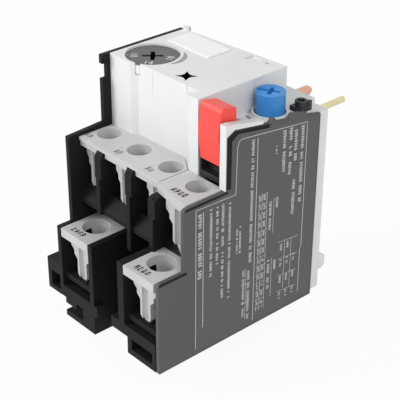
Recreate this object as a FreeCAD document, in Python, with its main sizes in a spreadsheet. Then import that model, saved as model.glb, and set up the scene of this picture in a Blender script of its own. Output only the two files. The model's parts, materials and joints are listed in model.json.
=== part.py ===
import FreeCAD, Part
import math
import os

import Sketcher
from FreeCAD import Placement, Rotation, Vector

# Thermal overload relay that plugs into a contactor by its three main pins.
# Design frame, millimetres: X runs across the relay from its middle plane, Y runs back from the front of the
# lower right terminal block, Z runs up from the lower edge of the side cover to the operator face.
# The finished sub-parts are shifted so that the origin is the bottom centre of the whole relay.

doc = FreeCAD.newDocument("thermal_overload_relay")

SIZES = {
    "overall": {
        "body_width": 45.0,       # left panel to side cover
        "cover_depth": 50.0,      # front of the right block to the rear edge of the side cover
        "foot_drop": 8.0,         # how far the foot reaches below the side cover
        "tab_reach": 5.2,         # clip tab beside the left block
        "pin_reach": 10.4,        # main pins beyond the rear wall
        "rear_reach": 4.0,        # rear housing beyond the side cover
        "wall": 1.5,              # moulded walls of the housings
        "panel": 1.3,             # left panel
        "cover": 1.2,             # side cover
        "gap": 0.15,              # play between mouldings that fit together
        "play": 0.3,              # play beside a piece that moves
        "fit": 0.06,              # running clearance of a turning piece
        "past": 1.0,              # how far a cut runs past the face that it opens
    },
    "levels": {
        "shelf_top": 40.7,        # face of the upper terminals
        "left_top": 17.85,        # face of the lower left terminal
        "right_top": 24.0,        # face of the lower right terminal
        "upper_top": 59.5,        # operator face
        "ledge_top": 51.5,        # lower face that carries the reset button
        "rear_top": 50.0,         # rear housing beside the thin pin
        "rear_rise": 1.4,         # how much higher it is behind the operator face
        "floor_top": -6.5,        # inner floor of the terminal housing
        "cover_top": 55.1,        # highest point of the side cover
        "cover_low": 50.7,        # rear corner of the side cover
        "rib_top": 38.2,          # top of the ribs between the terminals
        "rib_neck": 32.8,         # where the rib heads end
    },
    "depths": {
        "panel_front": 9.0,       # left panel beside the terminals
        "frame_front": 20.0,      # left panel beside the upper housing
        "panel_short": 4.0,       # rear edge of the left panel before that of the side cover
        "upper_short": 1.5,       # rear wall of the upper housing before the edge of the side cover
        "seam_short": 3.7,        # front edge of the rear housing before the edge of the side cover
        "shelf_front": 12.0,      # lip of the main terminal shelf
        "inner_wall": 22.6,       # wall between the terminals and the mechanism
        "upper_front": 22.4,      # front wall of the upper housing at its left end
        "upper_hollow": 23.9,     # front wall where it stands back
        "upper_nose": 20.6,       # front wall beside the stop button
        "rib_front": 11.1,        # front of the two ribs between the main terminals
        "aux_rib_front": 8.6,     # front of the rib beside the auxiliary terminal
        "left_front": 5.0,        # front of the lower left block
        "foot_rear": 12.0,        # where the foot runs into the floor
        "step_front": 20.05,      # where the side cover steps up
        "cover_nose": 7.4,        # front of the side cover at shelf level
        "ledge_short": 16.4,      # front of the ledge before the edge of the side cover
        "ledge_wall": 1.4,        # wall that hangs from the front of the ledge
    },
    "widths": {
        "upper_right": 12.4,      # right wall of the upper housing
        "slot_right": 20.65,      # right side of the stop button's slot
        "rib_width": 1.4,
        "rib_head": 2.4,
        "rib_offset": 3.45,       # left side of a rib head from the terminal axis beside it
        "floor_right": 9.0,       # right end of the low floor
        "nose_left": 9.2,         # left end of the upper housing's nose
        "crease_left": -13.6,     # where the front wall starts to step back
        "crease_right": -12.2,
        "hollow_right": 4.5,      # where it comes forward again
        "rise_right": 16.8,       # right end of the high part of the rear housing
    },
    "terminals": {
        "first_pole": -17.5,      # axis of the first main terminal
        "pole_pitch": 11.45,
        "pole_axis": 18.5,
        "aux_x": 16.5,            # upper auxiliary terminal
        "aux_axis": 17.1,
        "aux_front": 9.0,
        "aux_slant": 2.3,         # how much further back its left corner is
        "left_x": -15.5,          # lower left terminal
        "left_axis": 12.0,
        "right_x": 15.4,          # lower right terminal
        "right_axis": 7.2,
        "hole_radius": 2.95,      # driver holes of the upper terminals
        "block_hole": 3.55,       # driver holes of the lower terminals
        "lip": 2.4,               # thickness of the terminal faces
        "lip_band": 0.9,          # upper band of the shelf's lip
        "lip_step": 0.4,          # how far the band below it is set back
        "tooth_deep": 1.5,        # notches in the lip for the rib heads
        "block_width": 10.6,      # lower terminal inserts
        "block_depth": 12.0,
        "shaft_depth": 4.6,       # guide shaft of each driver hole
        "shaft_half": 3.4,        # half width of the guide shaft
        "clamp_depth": 12.5,      # top of the terminal bar below the terminal face
        "bar_thick": 1.2,
        "bar_width": 3.6,
        "riser": 4.0,             # turned-down end of an auxiliary bar
        "left_riser": 10.0,
        "washer": 6.8,
        "washer_thick": 1.2,
        "washer_relief": 0.3,
        "washer_edge": 0.8,
        "screw_radius": 1.7,
        "screw_head": 2.6,
        "head_height": 2.2,
        "shank_below": 3.2,       # screw below its bar, so that it still holds when it is backed out
        "driver_slot": 0.8,
        "slot_deep": 1.1,
        "slot_end": 0.7,          # rim left at the ends of the driver slot
        "aux_reach": 8.0,         # auxiliary bars behind the inner wall
    },
    "skirts": {
        "skirt_back": 2.0,        # how far the skirt stands behind the lip
        "skirt_thick": 1.5,
        "skirt_half": 3.3,
        "aux_skirt_half": 4.1,
        "stem_half": 1.8,
        "shoulder": 2.6,          # first step below the terminal face
        "second_shoulder": 4.8,
        "bevel": 1.0,             # slanted part under each step
        "stem_foot": 1.2,         # height of the cut corners of the stem
        "stem_corner": 0.8,
        "groove": 1.1,            # radius of the groove down the stem
        "groove_top": 1.5,
    },
    "blocks": {
        "beam_rise": 5.4,         # lower edge of the left beam above the foot
        "beam_high": 3.4,
        "beam_deep": 2.4,
        "tab_thick": 1.2,
        "tab_gap": 4.4,           # opening between the two arms of the clip tab
        "tab_high": 3.4,
        "web_left": 7.8,          # left end of the foot's web from the left panel
        "hook_left": 2.0,
        "hook_width": 4.4,
        "block_wall": 2.1,        # left wall of the lower right block
        "socket_low": 4.6,        # beam of the lower right block
        "socket_high": 7.6,
        "socket_deep": 3.4,
        "socket_reach": 2.8,
        "socket_wall": 5.0,
        "floor_back": 1.2,        # front of a chamber floor behind the face
        "floor_thick": 1.6,
        "slope_low": 4.2,         # how far the chamber floors slope down
        "slope_thick": 1.2,
        "slope_run": 2.8,
        "panel_step": 0.6,        # left panel above the shelf
        "notch_low": 6.2,         # label notch below the operator face
        "notch_high": 2.3,
        "notch_deep": 1.4,
    },
    "mechanism": {
        "strip_short": 13.0,      # middle of the bimetal strips before the edge of the side cover
        "strip_width": 5.0,
        "strip_thick": 0.8,
        "strip_foot": 4.0,
        "strip_tip": 35.6,
        "tip_step": 1.2,          # narrower part at the tip
        "winding_top": 31.0,
        "winding_low": 2.5,       # start of the winding above the foot
        "winding_turns": 8,
        "winding_end": 0.8,
        "sleeve": 0.5,            # thickness of the glass-fibre sleeve
        "ribbon": 1.4,
        "foot_thick": 1.2,
        "cheek": 0.9,
        "trip_travel": 1.4,
        "bar_high": 1.4,          # height of the trip bars
        "bar_end": 13.85,         # right end of the trip bar
        "finger": 1.9,
        "main_pin": 1.3,          # radius of the main pins
        "pin_taper": 0.5,
        "tip_length": 1.0,
        "shank_side": 0.1,        # square shank beyond the radius of its pin
        "pin_drop": 3.5,          # main pins below the top of the rear housing
        "coil_pin": 0.8,          # radius of the thin pin beside the main pins
        "coil_x": 17.2,
        "coil_drop": 1.8,
        "coil_reach": 9.5,
        "strap_short": 6.4,       # riser behind each strip before the edge of the side cover
        "lever_x": 16.6,
        "lever_arm": 5.0,
        "lever_hub": 1.7,
        "lever_nose": 0.8,
        "strip_left": 14.3,       # compensation strip
        "strip_gauge": 0.6,
        "pivot_radius": 0.8,
        "leaf_x": 13.4,
        "leaf_thick": 0.4,
        "leaf_low": 9.5,
        "leaf_width": 3.4,
        "leaf_apart": 3.4,        # each leaf from the middle of the carrier
        "carrier_low": 21.0,
        "carrier_high": 28.6,
        "carrier_half": 5.5,
        "rivet": 1.1,
        "rivet_high": 0.8,
        "rivet_level": 11.5,
        "contact_gap": 0.9,
        "make_gap": 1.55,
    },
    "dial": {
        "dial_x": -14.0,
        "dial_y": 29.7,
        "dial_radius": 6.5,
        "dial_thick": 2.6,
        "dial_sink": 0.4,
        "dial_shaft": 2.0,
        "dial_shaft_low": 47.4,
        "dial_boss": 3.4,
        "cross_half": 0.5,        # half width of the driver cross
        "cross_reach": 2.6,
        "cross_turn": 48,         # degrees, as the dial stands
        "cross_deep": 1.2,
        "cam_radius": 3.2,
        "cam_offset": 0.7,
        "cam_thick": 2.0,
        "cam_gap": 0.45,
        "lever_thick": 1.4,
        "lever_width": 2.8,
        "adjuster_x": 4.0,        # pivot of the adjusting lever
        "adjuster_end": 9.8,
        "adjuster_hub": 2.2,
        "adjuster_pin": 1.0,
    },
    "buttons": {
        "reset_x": 16.2,
        "reset_short": 10.6,      # reset button before the edge of the side cover
        "reset_radius": 3.5,
        "reset_height": 5.0,      # above the collar
        "reset_stem": 2.0,
        "reset_turn": 28,         # degrees, as its slot stands
        "stem_flat": 1.5,
        "stem_drop": 10.3,        # lower end of the stem below the ledge
        "head_drop": 1.6,
        "bush_radius": 4.2,
        "bush_drop": 7.75,
        "bush_thick": 2.8,
        "socket_half": 4.9,
        "socket_drop": 8.6,
        "collar_width": 0.9,
        "collar_height": 0.8,
        "stop_left": 13.7,
        "stop_right": 20.35,
        "stop_front": 19.6,
        "stop_bottom": 45.9,
        "stop_top": 59.9,
        "stop_deep": 3.2,         # thickness of its lower part
        "stop_back": 5.2,
        "stop_heel": 7.6,
        "stop_ridge": 6.3,        # ridge across its face below the top
        "heel_high": 8.6,
        "heel_low": 11.2,
        "stop_post": 2.0,
        "slot_floor": 41.5,
        "tray_wall": 0.6,
        "tray_high": 47.5,
        "wire": 0.45,             # spring wire
        "stop_coil": 1.6,
        "reset_coil": 2.9,
    },
    "details": {
        "star_x": 1.1,            # pointed hole in the operator face
        "star_y": 27.1,
        "star_long": 2.7,
        "star_short": 1.0,
        "star_round": 1.25,
        "plate_left": -18.0,      # bare marking plate
        "plate_right": -3.2,
        "plate_front": 37.6,
        "plate_rear": 45.2,
        "plate_sink": 0.3,
        "recess_left": 2.2,       # shallow square recess
        "recess_right": 5.5,
        "recess_front": 44.3,
        "recess_rear": 47.0,
        "recess_deep": 0.4,
        "pip_x": 8.0,             # small hole
        "pip_y": 46.2,
        "pip": 0.6,
        "corner_left": 5.2,       # lowered corner of the operator face
        "corner_rear": 23.7,
        "corner_deep": 0.9,
        "post": 0.9,              # radius of the post at the rear left corner
        "post_high": 0.9,
        "rim_front": 19.6,        # white rim beside the stop button
        "rim_high": 1.8,
        "rim_mid": 23.5,
        "rim_rear": 31.0,
        "rim_end": 34.8,
        "bump_front": 33.2,       # catches along the top of the side cover
        "bump_high": 1.2,
        "tab_front": 39.8,
        "tab_rear": 45.4,
        "clip_left": 17.6,
        "clip_right": 21.0,
        "clip_front_short": 5.7,  # ends of the wire clip before the edge of the side cover
        "clip_rear_short": 1.7,
        "clip_thick": 1.2,
        "eyelet_x": 19.3,
        "eyelet_short": 3.6,
        "eyelet": 1.5,
        "eyelet_high": 2.4,
        "eyelet_hole": 0.85,
        "hook_low": 3.8,          # contactor hooks on the rear wall
        "hook_high": 9.6,
        "hook_reach": 3.4,
        "hook_thick": 2.4,
    },
}


def fill_sheet():
    """Write every size into the spreadsheet as text, with its alias."""
    sheet = doc.addObject("Spreadsheet::Sheet", "Sizes")
    row = 1
    for group, values in SIZES.items():
        sheet.set(f"A{row}", group)
        row += 1
        for name, value in values.items():
            sheet.set(f"A{row}", name)
            sheet.set(f"B{row}", str(value))
            sheet.setAlias(f"B{row}", name)
            row += 1
    doc.recompute()
    return sheet


class Size:
    """A length that carries its value and the sheet formula that gives it."""

    def __init__(self, value, formula):
        self.value = value
        self.formula = formula

    def __add__(self, other):
        other = size(other)
        return Size(self.value + other.value, f"({self.formula} + {other.formula})")

    def __sub__(self, other):
        other = size(other)
        return Size(self.value - other.value, f"({self.formula} - {other.formula})")

    def __mul__(self, other):
        other = size(other)
        return Size(self.value * other.value, f"({self.formula} * {other.formula})")

    def __truediv__(self, other):
        other = size(other)
        return Size(self.value / other.value, f"({self.formula} / {other.formula})")

    def __radd__(self, other):
        return size(other) + self

    def __rsub__(self, other):
        return size(other) - self

    def __rmul__(self, other):
        return size(other) * self

    def __neg__(self):
        return size(0) - self


def size(number):
    """A plain number as a Size."""
    if isinstance(number, Size):
        return number
    return Size(float(number), f"{float(number):.6g}")


class Sheet:
    """Gives each alias of the spreadsheet as a Size."""

    def __getattr__(self, name):
        for values in SIZES.values():
            if name in values:
                return Size(float(values[name]), f"Sizes.{name}")
        raise AttributeError(name)


sheet = fill_sheet()
d = Sheet()


# ---------------------------------------------------------------- building tools

def block(x, y, z):
    """A box between two planes in each direction."""
    box = doc.addObject("Part::Box", "block")
    for prop, span in (("Length", x), ("Width", y), ("Height", z)):
        box.setExpression(prop, (size(span[1]) - span[0]).formula)
    for prop, span in (("x", x), ("y", y), ("z", z)):
        box.setExpression(f"Placement.Base.{prop}", size(span[0]).formula)
    return box


TURNS = {
    "x": Rotation(Vector(0, 1, 0), 90),
    "y": Rotation(Vector(1, 0, 0), -90),
    "z": Rotation(),
}


def rod(axis, start, radius, length):
    """A cylinder that starts at a point and runs along an axis."""
    rod = doc.addObject("Part::Cylinder", "rod")
    rod.Placement = Placement(Vector(), TURNS[axis])
    rod.setExpression("Radius", size(radius).formula)
    rod.setExpression("Height", size(length).formula)
    for prop, value in zip("xyz", start):
        rod.setExpression(f"Placement.Base.{prop}", size(value).formula)
    return rod


def cone(axis, start, low_radius, high_radius, height):
    """A cone frustum that starts at a point and runs along an axis."""
    cone = doc.addObject("Part::Cone", "cone")
    cone.Placement = Placement(Vector(), TURNS[axis])
    cone.setExpression("Radius1", size(low_radius).formula)
    cone.setExpression("Radius2", size(high_radius).formula)
    cone.setExpression("Height", size(height).formula)
    for prop, value in zip("xyz", start):
        cone.setExpression(f"Placement.Base.{prop}", size(value).formula)
    return cone


def fuse(*pieces):
    """One solid of several."""
    joined = doc.addObject("Part::MultiFuse", "fuse")
    joined.Shapes = list(pieces)
    joined.Refine = True
    return joined


def cut(base, *tools):
    """A solid less the tools."""
    result = doc.addObject("Part::Cut", "cut")
    result.Base = base
    result.Tool = tools[0] if len(tools) == 1 else fuse(*tools)
    result.Refine = True
    return result


def origin_plane(body, role):
    """One of a body's own origin planes."""
    return next(f for f in body.Origin.OriginFeatures if f.Role == role)


def draw(sketch, outline):
    """Draw a closed outline whose corners are tied to the sheet."""
    count = len(outline)
    for i, (u, v) in enumerate(outline):
        p, q = outline[(i + 1) % count]
        start = Vector(size(u).value, size(v).value, 0)
        end = Vector(size(p).value, size(q).value, 0)
        sketch.addGeometry(Part.LineSegment(start, end), False)
    for i in range(count):
        sketch.addConstraint(Sketcher.Constraint("Coincident", i, 2, (i + 1) % count, 1))
    for i, (u, v) in enumerate(outline):
        for kind, value in (("DistanceX", size(u)), ("DistanceY", size(v))):
            index = sketch.addConstraint(Sketcher.Constraint(kind, -1, 1, i, 1, value.value))
            sketch.setExpression(f"Constraints[{index}]", value.formula)


def prism(plane, outline, span):
    """An outline in the XY, XZ or YZ plane, padded between two levels of the third axis."""
    body = doc.addObject("PartDesign::Body", "profile")
    sketch = body.newObject("Sketcher::SketchObject", "outline")
    sketch.AttachmentSupport = [(origin_plane(body, f"{plane}_Plane"), "")]
    sketch.MapMode = "FlatFace"
    offset = -size(span[1]) if plane == "XZ" else size(span[0])
    sketch.setExpression("AttachmentOffset.Base.z", offset.formula)
    draw(sketch, outline)
    pad = body.newObject("PartDesign::Pad", "pad")
    pad.Profile = sketch
    pad.setExpression("Length", (size(span[1]) - span[0]).formula)
    body.Tip = pad
    return body


FINISHED = {}


def finish(label, shape):
    """Name a finished sub-part and shift it to the relay's own frame."""
    shape.Label = label
    own = {entry[0].lstrip("."): entry[1] for entry in shape.ExpressionEngine}
    for axis, shift in (("x", d.tab_reach / 2), ("y", -(d.cover_depth + d.rear_reach + d.pin_reach) / 2), ("z", d.foot_drop)):
        path = f"Placement.Base.{axis}"
        place = f"{own[path]} + {shift.formula}" if path in own else shift.formula
        shape.setExpression(path, place)
    FINISHED[label] = shape


# ---------------------------------------------------------------- shared positions

left = -d.body_width / 2
right = d.body_width / 2
inner_left = left + d.panel
inner_right = right - d.cover
poles = [d.first_pole + d.pole_pitch * i for i in range(3)]
base = -d.foot_drop
rear_face = d.cover_depth + d.rear_reach
pin_tip = rear_face + d.pin_reach
upper_rear = d.cover_depth - d.upper_short
panel_rear = d.cover_depth - d.panel_short
strip_y = d.cover_depth - d.strip_short
strap_y = d.cover_depth - d.strap_short
reset_y = d.cover_depth - d.reset_short
ledge_front = d.cover_depth - d.ledge_short
pin_level = d.rear_top - d.pin_drop
coil_level = d.rear_top - d.coil_drop
FRONT = size(0)


class Terminal:
    """Where one screw terminal stands: its axis, its face and the front of its insert."""

    def __init__(self, x, axis, top, front, hole):
        self.x = x
        self.axis = axis
        self.top = top
        self.front = front
        self.hole = hole
        self.bar_top = top - d.clamp_depth
        self.floor = self.bar_top - d.bar_thick
        self.washer_low = self.bar_top + d.play
        self.head_low = self.washer_low + d.washer_thick
        self.under = top - d.lip


MAIN = [Terminal(x, d.pole_axis, d.shelf_top, d.shelf_front, d.hole_radius) for x in poles]
AUX_UPPER = Terminal(d.aux_x, d.aux_axis, d.shelf_top, d.aux_front, d.hole_radius)
AUX_LEFT = Terminal(d.left_x, d.left_axis, d.left_top, d.left_front, d.block_hole)
AUX_RIGHT = Terminal(d.right_x, d.right_axis, d.right_top, FRONT, d.block_hole)

right_block_left = d.right_x - d.block_width / 2 - d.gap
rib_heads = [(t.x + d.rib_offset, t.x + d.rib_offset + d.rib_head) for t in MAIN]
rib_webs = [(head[0] + d.play, head[0] + d.play + d.rib_width) for head in rib_heads]

wall_plan = [
    (inner_left, d.upper_front),
    (d.crease_left, d.upper_front),
    (d.crease_right, d.upper_hollow - d.play),
    (d.hollow_right, d.upper_hollow),
    (d.nose_left, d.upper_nose),
]


# ---------------------------------------------------------------- terminals

def skirt(t, half):
    """Stepped tongue in front of a driver hole, with a half-round groove down its stem."""
    mid = (half + d.stem_half) / 2
    first = t.under - d.shoulder
    second = t.under - d.second_shoulder
    side = [
        (half, t.under),
        (half, first),
        (mid, first - d.bevel),
        (mid, second),
        (d.stem_half, second - d.bevel),
        (d.stem_half, t.floor + d.stem_foot),
        (d.stem_half - d.stem_corner, t.floor + d.play),
    ]
    outline = [(t.x + u, v) for u, v in side] + [(t.x - u, v) for u, v in reversed(side)]
    front = t.front + d.skirt_back
    tongue = prism("XZ", outline, (front, front + d.skirt_thick))
    groove = rod("z", (t.x, front, t.floor), d.groove, t.under - d.groove_top - t.floor)
    return cut(tongue, groove)


def shaft(t, rear):
    """Guide block round a driver hole, behind the skirt."""
    front = t.front + d.skirt_back + d.skirt_thick
    return block((t.x - d.shaft_half, t.x + d.shaft_half), (front, rear), (t.under - d.shaft_depth, t.under))


def driver_hole(t):
    """Round hole through a terminal face and its guide block."""
    low = t.under - d.shaft_depth - d.past
    return rod("z", (t.x, t.axis, low), t.hole, t.top + d.past - low)


def lip_cuts():
    """Lower band of the shelf's lip set back, and a notch in it for each rib head."""
    z = (d.shelf_top - d.lip - d.past, d.shelf_top - d.lip_band)
    cuts = [block((left, d.nose_left + d.past), (d.shelf_front - d.past, d.shelf_front + d.lip_step), z)]
    for head in rib_heads:
        y = (d.shelf_front - d.past, d.shelf_front + d.tooth_deep)
        cuts.append(block((head[0] - d.gap, head[1] + d.gap), y, z))
    return cuts


def main_terminal_shelf():
    """One moulding that covers the three main terminals."""
    end = d.nose_left - d.play
    rear = [(x, y - d.gap) for x, y in wall_plan]
    rear[0] = (inner_left + d.gap, d.upper_front - d.gap)
    rear[-1] = (end, d.upper_nose)
    outline = [(end, d.shelf_front), *reversed(rear), (inner_left + d.gap, d.shelf_front)]
    plate = cut(prism("XY", outline, (d.shelf_top - d.lip, d.shelf_top)), *lip_cuts())
    pieces = [plate]
    for t in MAIN:
        pieces.append(skirt(t, d.skirt_half))
        pieces.append(shaft(t, d.inner_wall - d.gap))
    finish("main_terminal_shelf", cut(fuse(*pieces), *[driver_hole(t) for t in MAIN]))


def aux_insert(label, t, span, rear, slant):
    """Separate face of an auxiliary terminal, with its guide shaft and skirt."""
    outline = [(span[0], t.front + slant), (span[1], t.front), (span[1], rear), (span[0], rear)]
    face = prism("XY", outline, (t.under, t.top))
    pieces = fuse(face, skirt(t, d.aux_skirt_half), shaft(t, rear))
    finish(label, cut(pieces, driver_hole(t)))


def aux_inserts():
    """The three separate auxiliary terminal faces."""
    half = d.block_width / 2
    upper = (d.nose_left, inner_right - d.gap)
    aux_insert("upper_aux_insert", AUX_UPPER, upper, d.upper_nose - d.gap, d.aux_slant)
    for label, t in (("left_aux_insert", AUX_LEFT), ("right_aux_insert", AUX_RIGHT)):
        aux_insert(label, t, (t.x - half, t.x + half), t.front + d.block_depth, size(0))


def bar_hole(t):
    """Running hole in a terminal bar or washer for the screw."""
    return rod("z", (t.x, t.axis, t.floor - d.past), d.screw_radius + d.fit, d.clamp_depth)


def clamp_depths(t):
    """Front and rear of the clamp, behind the skirt."""
    return (t.front + d.skirt_back + d.skirt_thick + d.gap, t.axis + d.washer / 2 - d.play)


def terminal_bar(label, t, rear, riser_low, riser_high, *feet):
    """Conductor that carries the clamp, runs back through the inner wall and turns up or down."""
    x = (t.x - d.bar_width / 2, t.x + d.bar_width / 2)
    plate = block((t.x - d.washer / 2, t.x + d.washer / 2), clamp_depths(t), (t.floor, t.bar_top))
    tail = block(x, (t.axis, rear), (t.floor, t.bar_top))
    riser = block(x, (rear - d.bar_thick, rear), (riser_low, riser_high))
    finish(label, cut(fuse(plate, tail, riser, *[block(x, *foot) for foot in feet]), bar_hole(t)))


def clamp_washer(label, t):
    """Square pressure plate with turned-down edges under a screw head."""
    half = d.washer / 2
    plate = block((t.x - half, t.x + half), clamp_depths(t), (t.washer_low, t.head_low))
    relief = block((t.x - half + d.washer_edge, t.x + half - d.washer_edge),
                   (t.axis - half - d.past, t.axis + half + d.past), (t.washer_low, t.washer_low + d.washer_relief))
    finish(label, cut(plate, relief, bar_hole(t)))


def terminal_screw(label, t):
    """Cheese head clamp screw with a driver slot."""
    head = rod("z", (t.x, t.axis, t.head_low), d.screw_head, d.head_height)
    shank = rod("z", (t.x, t.axis, t.floor - d.shank_below), d.screw_radius, t.head_low - t.floor + d.shank_below)
    top = t.head_low + d.head_height
    half = d.driver_slot / 2
    reach = d.screw_head - d.slot_end
    slot = block((t.x - reach, t.x + reach), (t.axis - half, t.axis + half), (top - d.slot_deep, top + d.past))
    finish(label, cut(fuse(head, shank), slot))


def terminals():
    """Bars, washers and screws of the six terminals."""
    strip_front = strip_y - d.strip_width / 2
    root = d.strip_foot - d.foot_thick + d.gap
    for i, t in enumerate(MAIN, 1):
        foot = ((strip_front - d.stem_foot * 2, strip_front), (root, root + d.foot_thick))
        terminal_bar(f"terminal_bar_{i}", t, strip_front - d.bar_thick - d.gap, root, t.bar_top, foot)
    deep = d.inner_wall + d.aux_reach
    terminal_bar("upper_aux_bar", AUX_UPPER, deep, AUX_UPPER.floor - d.riser, AUX_UPPER.bar_top)
    terminal_bar("left_aux_bar", AUX_LEFT, deep - d.skirt_thick * 2, AUX_LEFT.floor, AUX_LEFT.floor + d.left_riser)
    terminal_bar("right_aux_bar", AUX_RIGHT, deep, AUX_RIGHT.floor - d.riser, AUX_RIGHT.bar_top)
    named = [(f"main_{i}", t) for i, t in enumerate(MAIN, 1)]
    named += [("upper_aux", AUX_UPPER), ("left_aux", AUX_LEFT), ("right_aux", AUX_RIGHT)]
    for name, t in named:
        clamp_washer(f"{name}_washer", t)
        terminal_screw(f"{name}_screw", t)


# ---------------------------------------------------------------- housings

def left_panel():
    """Outer left wall: low beside the lower block, stepped up twice, with a notch for a label clip."""
    notch_back = d.frame_front + d.notch_deep
    outline = [
        (d.left_front, base + d.beam_rise),
        (d.left_front, d.left_top),
        (d.panel_front, d.left_top),
        (d.panel_front, d.shelf_top + d.panel_step),
        (d.frame_front, d.shelf_top + d.panel_step * 2),
        (d.frame_front, d.upper_top - d.notch_low),
        (notch_back, d.upper_top - d.notch_low),
        (notch_back, d.upper_top - d.notch_high),
        (d.frame_front, d.upper_top - d.notch_high),
        (d.frame_front, d.upper_top),
        (panel_rear, d.upper_top),
        (panel_rear, base),
        (d.foot_rear, base),
        (d.foot_rear, base + d.beam_rise),
    ]
    return prism("YZ", outline, (left, inner_left))


def rib(head_x, web_x, front, low):
    """Wall between two terminals: a thin web with a broad head that fills a notch in the lip above."""
    web = block(web_x, (front, d.inner_wall), (low, d.rib_top))
    crown = d.shelf_top - d.lip_band - d.gap
    crown_rear = d.shelf_front + d.tooth_deep - d.gap
    outline = [
        (front, d.rib_neck),
        (front, d.rib_top),
        (front + d.lip_band, crown),
        (crown_rear, crown),
        (crown_rear, d.rib_top),
        (d.inner_wall, d.rib_top),
        (d.inner_wall, d.rib_neck),
    ]
    return fuse(web, prism("YZ", outline, head_x))


def low_rib(head_x, web_x, front, low):
    """Rib that stays below the separate insert beside it."""
    web = block(web_x, (front, d.inner_wall), (low, d.rib_top))
    outline = [
        (front, d.rib_neck),
        (front, d.rib_top - d.panel_step),
        (front + d.lip_band, d.rib_top),
        (d.inner_wall, d.rib_top),
        (d.inner_wall, d.rib_neck),
    ]
    return fuse(web, prism("YZ", outline, head_x))


def chamber_floor(t, x, front):
    """Floor of a terminal chamber that slopes down towards the wire entry."""
    outline = [
        (front, t.floor - d.slope_low),
        (front, t.floor - d.slope_low + d.slope_thick),
        (front + d.slope_run, t.floor),
        (d.inner_wall, t.floor),
        (d.inner_wall, t.floor - d.floor_thick),
        (front + d.slope_run + d.panel_step, t.floor - d.floor_thick),
    ]
    return prism("YZ", outline, x)


def bar_slot(t, front, rear):
    """Slot in the inner wall for a terminal bar."""
    half = d.bar_width / 2 + d.gap
    return block((t.x - half, t.x + half), (front, rear), (t.floor, t.bar_top + d.gap))


def left_block_pieces():
    """Lower left terminal block with its beam, clip tab and hooked foot."""
    wall = (AUX_LEFT.x + d.block_width / 2 + d.gap, AUX_LEFT.x + d.block_width / 2 + d.gap + d.wall)
    inside = (inner_left, wall[0])
    front = d.left_front
    back = front + d.block_depth
    beam = base + d.beam_rise
    low_arm = (beam - d.gap, beam + d.tab_thick)
    high_arm = (low_arm[1] + d.tab_gap, low_arm[1] + d.tab_gap + d.tab_high)
    tab_y = (front, d.panel_front + d.past)
    foot_y = (front, d.foot_rear + d.past)
    tab_end = left - d.tab_reach
    hook = left + d.hook_left
    return [
        block(wall, (front, d.inner_wall), (base, d.left_top)),
        block(inside, (back + d.gap, back + d.gap + d.wall), (base, d.left_top)),
        block(inside, (back + d.gap, d.inner_wall), (d.left_top - d.wall, d.left_top)),
        block(inside, (front + d.floor_back, back + d.past), (AUX_LEFT.floor - d.floor_thick, AUX_LEFT.floor)),
        block((left, wall[1] + d.floor_back), (front, front + d.beam_deep), (beam, beam + d.beam_high)),
        block((tab_end, left), tab_y, low_arm),
        block((tab_end, left), tab_y, high_arm),
        block((tab_end, tab_end + d.wall), tab_y, (beam, high_arm[0] + d.gap)),
        block((hook, hook + d.hook_width), (front, front + d.beam_deep), (beam - d.floor_thick, beam)),
        block((inner_left + d.web_left, wall[0] + d.gap), foot_y, (base, beam + d.past)),
        block((hook, wall[0] + d.gap), foot_y, (base, base + d.floor_thick)),
    ]


def right_block_pieces():
    """Lower right terminal block with its beam and the socket frame under it."""
    wall = (right_block_left - d.block_wall, right_block_left)
    end = inner_right - d.gap
    across = (wall[0], end)
    socket_left = wall[1] + d.past
    back = d.block_depth + d.gap
    deep = (FRONT, d.block_depth + d.past)
    side = (FRONT, d.socket_wall)
    return [
        block(wall, (FRONT, d.inner_wall), (d.socket_high - d.play, d.right_top)),
        block(across, (back, back + d.wall), (FRONT, d.right_top)),
        block(across, (back, d.inner_wall), (d.right_top - d.wall, d.right_top)),
        block((wall[0] - d.socket_reach, end), (FRONT, d.socket_deep), (d.socket_low, d.socket_high)),
        block((wall[1], end), (d.floor_back, deep[1]), (AUX_RIGHT.floor - d.floor_thick, AUX_RIGHT.floor)),
        block((socket_left, end), deep, (FRONT, d.wall + d.gap)),
        block((socket_left, socket_left + d.wall), deep, side),
        block((end - d.floor_back, end), deep, side),
    ]


def bar_slots():
    """Slots for the six bars and clearance holes under their screws."""
    through = d.inner_wall + d.wall + d.past
    every = [*MAIN, AUX_UPPER, AUX_LEFT, AUX_RIGHT]
    slots = [bar_slot(t, d.inner_wall - d.past, through) for t in every]
    slots.append(bar_slot(AUX_LEFT, AUX_LEFT.axis + d.washer / 2 - d.past, d.inner_wall))
    slots.append(bar_slot(AUX_RIGHT, AUX_RIGHT.axis + d.washer / 2 - d.past, d.inner_wall))
    for t in every:
        low = t.floor - d.shank_below - d.play
        slots.append(rod("z", (t.x, t.axis, low), d.screw_radius + d.play, d.shank_below + d.past))
    return slots


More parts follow.
